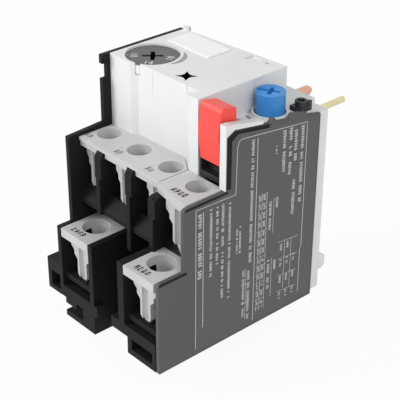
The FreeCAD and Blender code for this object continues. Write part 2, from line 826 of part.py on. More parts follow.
def terminal_housing():
    """Dark moulding that carries the terminals: left panel, inner wall, ribs, both lower blocks and the floor."""
    wall_y = (d.inner_wall, d.inner_wall + d.wall)
    web_right = inner_right - d.gap
    low_right = d.floor_right + d.wall
    slope_front = d.rib_front + d.washer_edge
    pieces = [left_panel()]
    pieces.append(block((inner_left, low_right), wall_y, (base, d.rib_top)))
    pieces.append(block((d.floor_right, web_right), wall_y, (FRONT, d.rib_top)))
    pieces.append(block((left, d.floor_right), (d.foot_rear, panel_rear), (base, d.floor_top)))
    pieces.append(block((d.floor_right, web_right), (d.block_depth, panel_rear), (FRONT, size(d.wall))))
    pieces.append(block((d.floor_right, low_right), (d.foot_rear, panel_rear), (base, d.wall)))
    pieces.append(rib(rib_heads[0], rib_webs[0], d.rib_front, MAIN[0].floor - d.slope_low))
    pieces.append(rib(rib_heads[1], rib_webs[1], d.rib_front, d.left_top))
    pieces.append(low_rib(rib_heads[2], rib_webs[2], d.aux_rib_front, d.right_top))
    ends = [inner_left, *[web[0] + d.gap for web in rib_webs]]
    for i, t in enumerate(MAIN):
        pieces.append(chamber_floor(t, (ends[i], ends[i + 1]), slope_front))
    pieces.append(chamber_floor(AUX_UPPER, (rib_webs[2][0], web_right), d.block_depth + d.gap))
    pieces += left_block_pieces()
    pieces += right_block_pieces()
    finish("terminal_housing", cut(fuse(*pieces), *bar_slots()))


def cover_line(y):
    """Level of the side cover's upper edge at a depth."""
    share = (d.cover_depth.value - size(y).value) / (d.cover_depth - cover_shoulder).value
    return d.cover_low + (d.cover_top - d.cover_low) * share


cover_shoulder = d.step_front + d.groove * 2


def side_cover():
    """Flat right cover: low at the front block, stepped up at the terminals and again at the operator face."""
    bump = [d.bump_front + d.washer_edge * i for i in range(4)]
    outline = [
        (FRONT, FRONT),
        (d.cover_depth, FRONT),
        (d.cover_depth, d.cover_low),
        (d.tab_rear, cover_line(d.tab_rear)),
        (d.tab_rear - d.play, cover_line(d.tab_rear) + d.past),
        (d.tab_front + d.play, cover_line(d.tab_front) + d.bump_high),
        (d.tab_front, cover_line(d.tab_front)),
        (bump[3], cover_line(bump[3])),
        (bump[2], cover_line(bump[2]) + d.past),
        (bump[1], cover_line(bump[1]) + d.bump_high),
        (bump[0], cover_line(bump[0])),
        (cover_shoulder, d.cover_top),
        (d.step_front, d.cover_top - d.slope_thick),
        (d.step_front, d.shelf_top),
        (d.cover_nose + d.panel_step, d.shelf_top),
        (d.cover_nose, d.shelf_top - d.panel_step),
        (d.cover_nose, d.right_top + d.panel_step),
        (FRONT + d.panel_step, d.right_top + d.panel_step),
        (FRONT, d.right_top),
    ]
    finish("side_cover", prism("YZ", outline, (inner_right, right)))


def star_hole():
    """Four-pointed hole with a round middle in the operator face."""
    low = d.upper_top - d.wall - d.past
    outline = []
    for i in range(8):
        reach = d.star_long if i % 2 == 0 else d.star_short
        angle = math.radians(45 * i + 45)
        outline.append((d.star_x + reach * math.cos(angle), d.star_y + reach * math.sin(angle)))
    star = prism("XY", outline, (low, d.upper_top + d.past))
    return fuse(star, rod("z", (d.star_x, d.star_y, low), d.star_round, d.wall + d.past * 2))


def rim():
    """Side wall of the slot and the ledge, with a rim that hooks over the side cover."""
    low = d.shelf_top + d.gap
    step = d.step_front - d.gap
    top = [
        (d.rim_mid, d.cover_top + d.floor_back),
        (d.rim_rear, cover_line(d.rim_rear) + d.past),
    ]
    tail = [
        (d.rim_end, d.ledge_top),
        (upper_rear, d.ledge_top),
        (upper_rear, low),
    ]
    nose = [(d.upper_nose, low), (d.upper_nose, d.cover_top + d.rim_high)]
    inner = prism("YZ", [*nose, *top, *tail], (d.slot_right, inner_right - d.gap))
    edge = [
        (d.rim_rear, cover_line(d.rim_rear) + d.gap),
        (cover_shoulder, d.cover_top + d.gap),
        (step, d.cover_top - d.slope_thick + d.gap),
        (step, low),
    ]
    front = [(d.rim_front, low), (d.rim_front, d.cover_top + d.rim_high)]
    return fuse(inner, prism("YZ", [*front, *top, *edge], (d.slot_right, right)))


def upper_shell():
    """Hollow box under the operator face."""
    low = d.shelf_top - d.lip + d.gap
    outer = [*wall_plan, (d.upper_right, d.upper_nose), (d.upper_right, upper_rear), (inner_left, panel_rear)]
    inner = [(x, y + d.wall) for x, y in wall_plan]
    inner[0] = (inner_left + d.wall, d.upper_front + d.wall)
    inner[-1] = (d.nose_left + d.wall / 2, d.upper_nose + d.wall)
    inner.append((d.upper_right - d.wall, d.upper_nose + d.wall))
    inner.append((d.upper_right - d.wall, upper_rear - d.wall))
    inner.append((inner_left + d.wall, panel_rear - d.wall))
    hollow = prism("XY", inner, (low - d.past, d.upper_top - d.wall))
    return cut(prism("XY", outer, (low, d.upper_top)), hollow)


def dial_seat():
    """Boss under the operator face for the dial, and the cuts for the dial and its shaft."""
    floor = d.upper_top - d.dial_sink - d.dial_thick - d.shank_side
    reach = d.dial_radius + d.panel_step
    boss = block((d.dial_x - reach, d.dial_x + reach), (d.dial_y - reach + d.past, d.dial_y + reach),
                 (floor - d.dial_boss, d.upper_top - d.dial_sink))
    well = rod("z", (d.dial_x, d.dial_y, floor), d.dial_radius + d.gap, d.dial_thick * 2)
    bore = rod("z", (d.dial_x, d.dial_y, floor - d.dial_boss - d.past), d.dial_shaft + d.fit, d.dial_thick * 2)
    return boss, [well, bore]


def reset_seat():
    """Collar, socket and neck of the reset button, and the cuts for its bush and stem."""
    x, y = d.reset_x, reset_y
    ring = d.reset_radius + d.collar_width
    collar = rod("z", (x, y, d.ledge_top), ring, d.collar_height)
    socket = block((x - d.socket_half, x + d.socket_half), (y - d.socket_half, y + d.socket_half),
                   (d.ledge_top - d.socket_drop, d.ledge_top - d.panel_step))
    bore_low = d.ledge_top - d.bush_drop - d.fit
    bore = rod("z", (x, y, bore_low), d.bush_radius + d.shank_side, d.bush_drop * 2)
    seat = rod("z", (x, y, bore_low - d.wall), d.reset_stem + d.cam_offset, d.wall * 2)
    neck_low = d.ledge_top - d.wall
    neck = cut(rod("z", (x, y, neck_low), ring, d.wall + d.collar_height),
               rod("z", (x, y, neck_low - d.past), d.reset_radius + d.play, d.wall * 4))
    return [collar, socket], [bore, seat], neck


def face_cuts():
    """Small recesses and holes in the operator face."""
    top = (d.upper_top - d.wall - d.past, d.wall + d.past * 2)
    above = d.upper_top + d.past
    plate = block((d.plate_left - d.shank_side, d.plate_right + d.shank_side),
                  (d.plate_front - d.shank_side, d.plate_rear + d.shank_side), (d.upper_top - d.plate_sink, above))
    recess = block((d.recess_left, d.recess_right), (d.recess_front, d.recess_rear),
                   (d.upper_top - d.recess_deep, above))
    corner = block((d.corner_left, d.nose_left), (d.upper_nose - d.past, d.corner_rear),
                   (d.upper_top - d.corner_deep, above))
    pip = rod("z", (d.pip_x, d.pip_y, top[0]), d.pip, top[1])
    return [plate, recess, corner, pip, star_hole()]


def upper_housing():
    """Light moulding with the operator face, the ledge of the reset button and the slot of the stop button."""
    low = d.shelf_top - d.lip + d.gap
    under_ledge = d.ledge_top - d.wall
    span = (d.upper_right - d.stem_flat / 3, inner_right - d.gap)
    ledge = block(span, (ledge_front, upper_rear), (under_ledge, d.ledge_top))
    well = block(span, (ledge_front - d.ledge_wall, ledge_front), (d.slot_floor, d.ledge_top))
    window = block((d.upper_right - d.wall - d.past, d.upper_right + d.cam_offset),
                   (ledge_front, upper_rear - d.wall * 2), (low - d.past, under_ledge))
    dial_boss, dial_cuts = dial_seat()
    solid, seat_cuts, neck = reset_seat()
    side = d.main_pin + d.play
    pin_holes = []
    for px in poles:
        pin_holes.append(block((px - side, px + side), (panel_rear - d.wall * 2, upper_rear + d.past),
                               (pin_level - side, pin_level + side)))
    post = rod("z", (inner_left + d.post + d.gap, panel_rear, d.ledge_top + d.past), d.post,
               d.upper_top + d.post_high - d.ledge_top - d.past)
    body = fuse(upper_shell(), dial_boss, ledge, well, rim(), post, *solid)
    body = cut(body, window, *seat_cuts, *dial_cuts, *face_cuts(), *pin_holes)
    clear = block((d.upper_right - d.wall + d.shank_side, d.upper_right + d.play),
                  (ledge_front + d.past, upper_rear - d.wall), (under_ledge - d.wall, under_ledge))
    finish("upper_housing", fuse(cut(body, clear), neck))


def pin_slot(x, level, radius, start):
    """Square hole for the shank of a pin, through the rear wall."""
    side = radius + d.gap
    return block((x - side, x + side), (start, rear_face + d.past), (level - side, level + side))


def rear_hook(start):
    """Hook on the rear wall that catches in the contactor."""
    reach = rear_face + d.hook_reach
    outline = [
        (rear_face, d.hook_high),
        (reach, d.hook_high - d.groove * 2),
        (reach, d.hook_low + d.washer_edge),
        (rear_face + d.hook_reach / 2, d.hook_low),
        (rear_face + d.bar_thick, d.hook_low + d.bar_thick),
        (rear_face, d.hook_low + d.floor_thick),
    ]
    return prism("YZ", outline, (start, start + d.hook_thick))


def rear_housing():
    """Light tray that closes the back, with the pin holes and the two contactor hooks."""
    x = (inner_left + d.gap, inner_right - d.gap)
    seam = d.cover_depth - d.seam_short
    low = d.floor_top + d.gap
    high = d.rear_top + d.rear_rise
    before, beyond = seam - d.past, rear_face + d.past
    upper = upper_rear + d.gap
    outer = block(x, (seam, rear_face), (low, high))
    hollow = block((x[0] + d.wall, x[1] - d.wall), (before, rear_face - d.wall), (low + d.wall, d.rear_top - d.wall))
    cuts = [
        hollow,
        block((d.floor_right - d.shank_side, right), (before, beyond), (low - d.past, FRONT)),
        block((left, d.upper_right + d.gap), (before, upper), (d.shelf_top - d.lip, high + d.past)),
        block((d.upper_right, right), (before, upper), (d.shelf_top, high + d.past)),
        block((d.rise_right, right), (upper - d.past, beyond), (d.rear_top, high + d.past)),
    ]
    cuts += [pin_slot(px, pin_level, d.main_pin, rear_face - d.wall - d.past) for px in poles]
    cuts.append(pin_slot(d.coil_x, coil_level, d.coil_pin, before))
    step = block((d.floor_right - d.wall, x[1]), (seam, rear_face), (FRONT, d.wall))
    clear = block((d.floor_right - d.wall * 2, d.floor_right + d.wall + d.shank_side),
                  (before, panel_rear + d.shank_side), (FRONT - d.past, d.wall + d.past))
    hooks = [rear_hook(x[1] - d.hook_reach), rear_hook(x[0] + d.past)]
    finish("rear_housing", fuse(cut(outer, *cuts), cut(step, clear), *hooks))


# ---------------------------------------------------------------- poles

def pole_conductor(i, x):
    """Main pin with a tapered end, and the flat riser that leads down to the root of its heater."""
    side = d.main_pin + d.shank_side
    level = (pin_level - side, pin_level + side)
    collar = block((x - side, x + side), (strap_y - d.bar_thick / 2, rear_face), level)
    pin = rod("y", (x, rear_face - d.past, pin_level), d.main_pin, pin_tip - rear_face + d.past - d.tip_length)
    tip = cone("y", (x, pin_tip - d.tip_length, pin_level), d.main_pin, d.main_pin - d.pin_taper, d.tip_length)
    half = d.bar_width / 2
    root = d.strip_foot - d.foot_thick + d.gap
    strap = block((x - half, x + half), (strap_y - d.bar_thick, strap_y), (root, pin_level + d.main_pin))
    foot_front = strip_y + d.strip_width / 2 + d.play
    foot = block((x - half, x + half), (foot_front, strap_y), (root, root + d.foot_thick))
    finish(f"pole_conductor_{i}", fuse(pin, collar, tip, strap, foot))


def bimetal_strip(i, x):
    """Upright bimetal strip with a narrowed tip that pushes the trip bar."""
    half = d.strip_thick / 2
    wide = d.strip_width / 2
    narrow = wide - d.tip_step
    step = d.winding_top + d.tip_step
    outline = [
        (strip_y - wide, d.strip_foot),
        (strip_y - wide, step),
        (strip_y - narrow, step + d.tip_step),
        (strip_y - narrow, d.strip_tip),
        (strip_y + narrow, d.strip_tip),
        (strip_y + narrow, step + d.tip_step),
        (strip_y + wide, step),
        (strip_y + wide, d.strip_foot),
    ]
    finish(f"bimetal_strip_{i}", prism("YZ", outline, (x - half, x + half)))


def heater_winding(i, x):
    """Glass-fibre sleeve over the strip with a flat resistance ribbon wound round it."""
    half = d.strip_thick / 2
    wide = d.strip_width / 2
    low = d.strip_foot + d.winding_low
    reach = d.sleeve * 2
    sleeve = block((x - half - d.sleeve, x + half + d.sleeve), (strip_y - wide - d.sleeve, strip_y + wide + d.sleeve),
                   (low, d.winding_top))
    pieces = [sleeve]
    pitch = (d.winding_top - low - d.winding_end) / d.winding_turns
    for turn in range(int(d.winding_turns.value)):
        z = low + d.winding_end + pitch * turn
        pieces.append(block((x - half - reach, x + half + reach), (strip_y - wide - reach, strip_y + wide + reach),
                            (z, z + d.ribbon)))
    core = block((x - half, x + half), (strip_y - wide, strip_y + wide), (low - d.past, d.winding_top + d.past))
    finish(f"heater_winding_{i}", cut(fuse(*pieces), core))


def bimetal_carrier():
    """Moulded beam on the floor that holds the roots of the three strips."""
    top = d.strip_foot - d.foot_thick + d.gap
    reach = d.strip_width / 2
    beam = block((inner_left + d.gap, d.floor_right - d.gap), (strip_y - reach - d.bar_thick, strip_y + reach * 2),
                 (d.floor_top, top))
    cheeks = []
    for x in poles:
        for side in (-1, 1):
            near = x + (d.strip_thick / 2 + d.play) * side
            far = near + d.cheek * side
            span = (far, near) if side < 0 else (near, far)
            cheeks.append(block(span, (strip_y - d.wall, strip_y + d.wall), (top, d.strip_foot + d.floor_thick)))
    finish("bimetal_carrier", fuse(beam, *cheeks))


def slide_bar(label, side, bar_y, end):
    """Flat bar across the three poles with a finger beside each strip tip."""
    low = d.strip_tip + d.play
    pieces = [block((poles[0] - d.groove * 2, end), bar_y, (low, low + d.bar_high))]
    for x in poles:
        near = x + (d.strip_thick / 2 + d.play) * side
        far = near + d.cheek * side
        span = (near, far) if side > 0 else (far, near)
        pieces.append(block(span, bar_y, (low - d.finger, low + d.gap)))
    finish(label, fuse(*pieces))


def poles_and_bars():
    """Three heated poles, their root beam and the two bars that they push."""
    for i, x in enumerate(poles, 1):
        pole_conductor(i, x)
        bimetal_strip(i, x)
        heater_winding(i, x)
    bimetal_carrier()
    depth = d.strip_width / 2
    slide_bar("trip_bar", 1, (strip_y - depth, strip_y + d.gap), d.bar_end)
    slide_bar("differential_bar", -1, (strip_y + d.panel_step, strip_y + d.gap + depth), poles[2] + d.screw_radius * 2)


# ---------------------------------------------------------------- trip mechanism

def trip_lever():
    """Lever on a steel pin: the bar pushes the compensation strip, the lower nose pushes the contact carrier."""
    x = d.lever_x
    y = (strip_y - d.reset_stem, strip_y + d.wall)
    bar_level = d.strip_tip + d.play + d.bar_high / 2
    z = bar_level - d.lever_arm
    length = y[1] - y[0]
    strip_x = (d.strip_left, d.strip_left + d.strip_gauge)
    nose_x = d.strip_left + d.bar_high
    foot = z - d.lever_arm
    hub = rod("y", (x, y[0], z), d.lever_hub, length)
    ear = block((strip_x[1], x), y, (z - d.bar_thick, z + d.floor_thick))
    shin = [
        (x - d.bar_high, z),
        (x + d.bar_high, z - d.panel_step),
        (nose_x + d.past, foot - d.play),
        (nose_x - d.sleeve, foot),
    ]
    nose = rod("y", (nose_x, y[0], foot), d.lever_nose, length)
    hole = rod("y", (x, y[0] - d.past, z), d.pivot_radius + d.fit, length + d.past * 2)
    finish("trip_lever", cut(fuse(hub, ear, prism("XZ", shin, y), nose), hole))
    edge = d.leaf_thick
    finish("compensation_strip", block(strip_x, (y[0] + edge, y[1] - edge), (z - d.bar_thick, bar_level + d.past)))
    start = d.inner_wall + d.wall
    finish("trip_pivot", rod("y", (x, start, z), d.pivot_radius, y[1] + d.wall - start))


def moving_contact(label, middle, side):
    """Leaf spring below the carrier with a silver contact on one face."""
    leaf = (d.leaf_x, d.leaf_x + d.leaf_thick)
    half = d.leaf_width / 2
    strip = block(leaf, (middle - half, middle + half), (d.leaf_low, d.carrier_low))
    start = leaf[1] if side > 0 else leaf[0] - d.rivet_high
    finish(label, fuse(strip, rod("x", (start, middle, d.rivet_level), d.rivet, d.rivet_high)))


def fixed_contact(label, middle, near, side):
    """Upright strip on the floor with a silver contact that faces the leaf."""
    thick = d.rivet_high
    strip_x = (near + thick, near + thick * 2) if side > 0 else (near - thick * 2, near - thick)
    half = d.leaf_width / 2
    strip = block(strip_x, (middle - half, middle + half), (d.wall, d.rivet_level + d.winding_low))
    start = near if side > 0 else near - thick
    finish(label, fuse(strip, rod("x", (start, middle, d.rivet_level), d.rivet, thick)))


def contacts():
    """Moulded carrier with the two moving contact leaves, and the two fixed contacts beside them."""
    x, y = d.leaf_x, strip_y
    head = block((x - d.washer_edge, x + d.bar_thick), (y - d.carrier_half, y + d.carrier_half),
                 (d.carrier_low, d.carrier_high))
    relief = block((x - d.bar_high, x), (y - d.wall, y + d.wall), (d.carrier_low - d.past, d.carrier_low + d.wall * 2))
    finish("contact_carrier", cut(head, relief))
    moving_contact("break_leaf", y - d.leaf_apart, 1)
    moving_contact("make_leaf", y + d.leaf_apart, -1)
    reach = d.leaf_thick + d.contact_gap
    fixed_contact("break_contact", y - d.leaf_apart, x + reach, 1)
    fixed_contact("make_contact", y + d.leaf_apart, x - d.rivet_high - d.make_gap, -1)


def turned_slot(x, y, degrees, u, v, z):
    """Straight cut across a round head, turned about its axis."""
    c = math.cos(math.radians(degrees))
    s = math.sin(math.radians(degrees))
    corners = [(u[0], v[0]), (u[1], v[0]), (u[1], v[1]), (u[0], v[1])]
    return prism("XY", [(x + a * c - b * s, y + a * s + b * c) for a, b in corners], z)


def setting_dial():
    """Round current dial with a cross slot, a shaft through the operator face and an eccentric cam below."""
    x, y = d.dial_x, d.dial_y
    top = d.upper_top - d.dial_sink
    disc = rod("z", (x, y, top - d.dial_thick), d.dial_radius, d.dial_thick)
    shaft = rod("z", (x, y, d.dial_shaft_low), d.dial_shaft, top - d.dial_thick - d.dial_shaft_low)
    half, reach = d.cross_half, d.cross_reach
    z = (top - d.cross_deep, top + d.past)
    turn = d.cross_turn.value
    slots = [turned_slot(x, y, turn + more, (-reach, reach), (-half, half), z) for more in (0, 90)]
    finish("setting_dial", cut(fuse(disc, shaft), *slots))
    cam_low = d.dial_shaft_low - d.cam_thick
    finish("dial_cam", rod("z", (x + d.cam_offset, y, cam_low), d.cam_radius, d.cam_thick))


def adjusting_lever():
    """Flat lever whose long arm follows the cam."""
    y = d.dial_y + d.cam_radius + d.cam_gap
    px, py = d.adjuster_x, y + d.lever_width / 2
    low = d.dial_shaft_low - d.cam_thick + d.gap
    z = (low, low + d.lever_thick)
    far = d.dial_x - d.cam_radius
    rise = d.bar_thick
    outline = [
        (far, y),
        (px, y),
        (d.adjuster_end, y + rise),
        (d.adjuster_end, y + d.lever_width),
        (px, y + d.lever_width),
        (d.dial_x, y + d.floor_thick),
        (far, y + rise),
    ]
    hub = rod("z", (px, py, z[0]), d.adjuster_hub, d.lever_thick)
    hole = rod("z", (px, py, z[0] - d.past), d.adjuster_pin + d.fit, d.lever_thick + d.past * 2)
    finish("adjusting_lever", cut(fuse(prism("XY", outline, z), hub), hole))
    pin_low = z[0] - d.panel_step
    finish("adjusting_pivot", rod("z", (px, py, pin_low), d.adjuster_pin, d.upper_top - d.wall - pin_low))


# ---------------------------------------------------------------- buttons and small parts

def spring(label, x, y, low, high, radius, turns):
    """Compression spring: square wire that climbs round its axis in short straight lengths."""
    sides = 8
    wire = d.wire.value
    length = (high - low - d.shank_side).value - wire
    points = []
    for i in range(turns * sides + 1):
        angle = 2 * math.pi * i / sides
        rise = length * i / (turns * sides)
        points.append(Vector(radius.value * math.cos(angle), radius.value * math.sin(angle), rise))
    half = wire / 2
    square = ((-1, -1), (1, -1), (1, 1), (-1, 1), (-1, -1))
    corners = [Vector(radius.value + u * half, 0, v * half) for u, v in square]
    coil = doc.addObject("Part::Feature", label)
    coil.Shape = Part.makePolygon(points).makePipeShell([Part.makePolygon(corners)], True, True, 1)
    for prop, value in zip("xyz", (x, y, low + half)):
        coil.setExpression(f"Placement.Base.{prop}", size(value).formula)
    finish(label, coil)


def stop_button():
    """Red slider with a ridge across its face; pressing it down opens the break contact."""
    sides = (d.stop_left, d.stop_right)
    front, bottom, top = d.stop_front, d.stop_bottom, d.stop_top
    back, heel = front + d.stop_back, front + d.stop_heel
    outline = [
        (front + d.sleeve, bottom),
        (front - d.play, top - d.stop_ridge),
        (front + d.sleeve, top - d.cheek),
        (front + d.bar_thick, top),
        (back, top - d.washer_edge),
        (back, top - d.heel_high + d.bar_high),
        (heel, top - d.heel_high),
        (heel, top - d.heel_low),
        (front + d.stop_deep, top - d.heel_low),
        (front + d.stop_deep, bottom),
    ]
    middle = (d.stop_left + d.stop_right) / 2
    coil_y = back + d.play
    under = top - d.heel_low
    post = rod("z", (middle, coil_y, under - d.stop_post), d.cheek, d.stop_post)
    finish("stop_button", fuse(prism("YZ", outline, sides), post))
    spring("stop_spring", middle, coil_y, d.slot_floor + d.floor_thick, under, d.stop_coil, 5)


def slot_backing():
    """Black tray in the stop button's slot: floor with a spring seat, side wall and a high rear wall."""
    x = (d.upper_right + d.gap, d.slot_right - d.gap)
    wall_x = (x[0], x[0] + d.tray_wall)
    front = d.upper_nose + d.play
    rear = ledge_front - d.ledge_wall - d.gap
    low = d.shelf_top + d.gap
    seat_front = d.stop_front + d.stop_deep + d.leaf_thick
    seat_rear = d.stop_front + d.stop_heel + d.past
    high = d.ledge_top - d.past
    finish("slot_backing", fuse(
        block(x, (front, rear), (low, d.slot_floor + d.washer_edge)),
        block(x, (seat_front, seat_rear), (low, d.slot_floor + d.floor_thick)),
        block(wall_x, (front, rear), (low, d.tray_high)),
        block(wall_x, (seat_rear, rear), (low, high)),
        block(x, (rear - d.tray_wall, rear), (low, high)),
    ))


def reset_button():
    """Blue button with a driver slot on a stem; it slides in a bush that turns with it."""
    x, y = d.reset_x, reset_y
    top = d.ledge_top + d.collar_height + d.reset_height
    low = d.ledge_top - d.head_drop
    stem_low = d.ledge_top - d.stem_drop
    head = rod("z", (x, y, low), d.reset_radius, top - low)
    stem = rod("z", (x, y, stem_low), d.reset_stem, low - stem_low)
    turn = d.reset_turn.value
    half = d.cross_half
    z = (top - d.cross_deep, top + d.past)
    slot = turned_slot(x, y, turn, (-d.reset_radius * 2, d.cross_reach * 0.85), (-half, half), z)
    cross = turned_slot(x, y, turn, (-half, half), (-d.reset_stem, d.reset_stem), z)
    span = (y - d.reset_radius, y + d.reset_radius)
    flat = block((x + d.stem_flat, x + d.reset_radius), span, (stem_low - d.past, low))
    finish("reset_button", cut(fuse(head, stem), slot, cross, flat))
    bush_low = d.ledge_top - d.bush_drop
    bush = rod("z", (x, y, bush_low), d.bush_radius, d.bush_thick)
    through = (bush_low - d.past, bush_low + d.bush_thick + d.past)
    hole = rod("z", (x, y, through[0]), d.reset_stem + d.fit, d.bush_thick + d.past * 2)
    key = block((x + d.stem_flat + d.fit, x + d.reset_radius), span, through)
    finish("reset_bush", cut(bush, cut(hole, key)))
    spring("reset_spring", x, y, bush_low + d.bush_thick + d.fit, low, d.reset_coil, 4)


def small_parts():
    """Marking plate, wire clip and the thin coil pin."""
    z = (d.upper_top - d.plate_sink, d.upper_top + d.plate_sink)
    finish("marking_plate", block((d.plate_left, d.plate_right), (d.plate_front, d.plate_rear), z))
    low = d.ledge_top
    clip_rear = d.cover_depth - d.clip_rear_short
    eyelet_y = d.cover_depth - d.eyelet_short
    plate = block((d.clip_left, d.clip_right), (d.cover_depth - d.clip_front_short, clip_rear),
                  (low, low + d.clip_thick))
    eyelet = rod("z", (d.eyelet_x, eyelet_y, low), d.eyelet, d.eyelet_high)
    hook = block((d.clip_right - d.washer_edge, d.clip_right), (clip_rear - d.bar_thick, clip_rear),
                 (low, low + d.bar_thick * 2))
    hole = rod("z", (d.eyelet_x, eyelet_y, low + d.leaf_thick), d.eyelet_hole, d.eyelet_high)
    finish("wire_clip", cut(fuse(plate, eyelet, hook), hole))
    side = d.coil_pin + d.shank_side
    collar = block((d.coil_x - side, d.coil_x + side), (upper_rear + d.play, rear_face),
                   (coil_level - side, coil_level + side))
    pin = rod("y", (d.coil_x, rear_face - d.past, coil_level), d.coil_pin, d.coil_reach + d.past)
    finish("coil_pin", fuse(collar, pin))


main_terminal_shelf()
aux_inserts()
terminals()
terminal_housing()
side_cover()
upper_housing()
rear_housing()
poles_and_bars()
trip_lever()
contacts()
setting_dial()
adjusting_lever()
stop_button()
slot_backing()
reset_button()
small_parts()


# ---------------------------------------------------------------- checks and files

def check():
    """Stop if any object failed or any sub-part is not sound."""
    doc.recompute()
    for obj in doc.Objects:
        if "Invalid" in obj.State or "Error" in obj.State:
            raise RuntimeError(f"{obj.Label} failed: {obj.State}")
    for label, obj in FINISHED.items():
        shape = obj.Shape
        if shape.isNull() or not shape.isValid() or not shape.Solids:
            raise RuntimeError(f"{label} has no sound shape")
        print(label, len(shape.Solids), round(shape.Volume, 1))


check()
os.makedirs("parts", exist_ok=True)
for label, obj in FINISHED.items():
    obj.Shape.exportStep(f"parts/{label}.step")
print(len(FINISHED), "sub-parts")
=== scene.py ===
import json
import math

import bmesh
import bpy
from mathutils import Matrix, Vector


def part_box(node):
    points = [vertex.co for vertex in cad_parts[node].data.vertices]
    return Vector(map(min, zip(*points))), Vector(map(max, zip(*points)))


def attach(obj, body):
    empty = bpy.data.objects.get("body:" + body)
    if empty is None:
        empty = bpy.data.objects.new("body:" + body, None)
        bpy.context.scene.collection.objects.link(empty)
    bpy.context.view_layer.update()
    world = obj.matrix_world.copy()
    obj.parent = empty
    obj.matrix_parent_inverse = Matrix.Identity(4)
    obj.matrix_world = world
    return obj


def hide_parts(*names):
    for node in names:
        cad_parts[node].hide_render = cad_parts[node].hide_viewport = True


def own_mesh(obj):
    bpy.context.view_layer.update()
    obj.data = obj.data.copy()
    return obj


# Thermal overload relay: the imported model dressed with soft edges, mouldings, prints, coils and windings.
# Metres throughout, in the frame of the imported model: X across the relay, Y back along its pins, Z up.

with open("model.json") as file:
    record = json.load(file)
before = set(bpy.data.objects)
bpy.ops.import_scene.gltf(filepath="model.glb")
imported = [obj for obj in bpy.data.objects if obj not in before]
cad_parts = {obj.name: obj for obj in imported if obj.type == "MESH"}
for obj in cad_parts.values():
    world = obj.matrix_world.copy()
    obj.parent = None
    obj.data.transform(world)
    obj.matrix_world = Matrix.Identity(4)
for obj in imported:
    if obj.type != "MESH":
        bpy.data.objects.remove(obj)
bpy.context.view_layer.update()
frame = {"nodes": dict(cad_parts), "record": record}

MM = 0.001
CLAMPS = ("main_1", "main_2", "main_3", "upper_aux", "left_aux", "right_aux")
POLES = (1, 2, 3)
NODE_BODY = {node: body for body, nodes in frame["record"]["behaviour"]["bodies"].items() for node in nodes}

# ---------------------------------------------------------------- finishes

LIGHT_GREY = (0.73, 0.74, 0.74, 1)
TERMINAL_GREY = (0.51, 0.52, 0.51, 1)
DARK_GREY = (0.0105, 0.0105, 0.0110, 1)
COVER_GREY = (0.082, 0.082, 0.085, 1)
LABEL_GREY = (0.080, 0.075, 0.074, 1)
DIAL_GREY = (0.085, 0.083, 0.083, 1)
STOP_RED = (0.88, 0.065, 0.05, 1)
RESET_BLUE = (0.035, 0.245, 0.62, 1)
INNER_CREAM = (0.60, 0.55, 0.42, 1)
SOOT_BLACK = (0.012, 0.012, 0.013, 1)
PRINT_WHITE = (0.74, 0.74, 0.73, 1)
PRINT_BLACK = (0.035, 0.035, 0.035, 1)
PRINT_GREY = (0.19, 0.19, 0.19, 1)
PRINT_PALE = (0.36, 0.37, 0.37, 1)
COPPER = (0.72, 0.40, 0.29, 1)
BRASS = (0.74, 0.66, 0.40, 1)
ZINC = (0.56, 0.57, 0.58, 1)
STRIP_STEEL = (0.46, 0.44, 0.41, 1)
SPRING_STEEL = (0.42, 0.42, 0.43, 1)
SILVER = (0.78, 0.78, 0.77, 1)
SLEEVE = (0.70, 0.66, 0.56, 1)
RIBBON_STEEL = (0.50, 0.47, 0.43, 1)
PLATE_WHITE = (0.86, 0.865, 0.865, 1)
UNLIT = (0.004, 0.004, 0.004, 1)


def node_tree(name):
    """A new material with a Principled shader: the material, its nodes, its links and the shader."""
    material = bpy.data.materials.new(name)
    material.use_nodes = True
    tree = material.node_tree
    return material, tree.nodes, tree.links, tree.nodes["Principled BSDF"]


def shaded(colour, factor):
    """A colour made a little darker or lighter."""
    return (*[min(1.0, c * factor) for c in colour[:3]], 1)


def noise(nodes, links, scale, detail, roughness=0.5):
    """Noise in the object's own coordinates."""
    place = nodes.new("ShaderNodeTexCoord")
    field = nodes.new("ShaderNodeTexNoise")
    field.inputs["Scale"].default_value = scale
    field.inputs["Detail"].default_value = detail
    field.inputs["Roughness"].default_value = roughness
    links.new(place.outputs["Object"], field.inputs["Vector"])
    return field


def coloured(nodes, links, source, shader, low, high, start=0.0, end=1.0):
    """Base colour that runs from one colour to another as a pattern rises."""
    ramp = nodes.new("ShaderNodeValToRGB")
    for stop, position, colour in zip(ramp.color_ramp.elements, (start, end), (low, high)):
        stop.position = position
        stop.color = colour
    links.new(source, ramp.inputs["Fac"])
    links.new(ramp.outputs["Color"], shader.inputs["Base Color"])


def roughened(nodes, links, source, shader, low, high):
    """Roughness that varies between two values with a pattern."""
    span = nodes.new("ShaderNodeMapRange")
    span.inputs["To Min"].default_value = low
    span.inputs["To Max"].default_value = high
    links.new(source, span.inputs["Value"])
    links.new(span.outputs["Result"], shader.inputs["Roughness"])


def raised(nodes, links, source, shader, strength, depth):
    """Relief that is too fine for the mesh."""
    bump = nodes.new("ShaderNodeBump")
    bump.inputs["Strength"].default_value = strength
    bump.inputs["Distance"].default_value = depth
    links.new(source, bump.inputs["Height"])
    links.new(bump.outputs["Normal"], shader.inputs["Normal"])


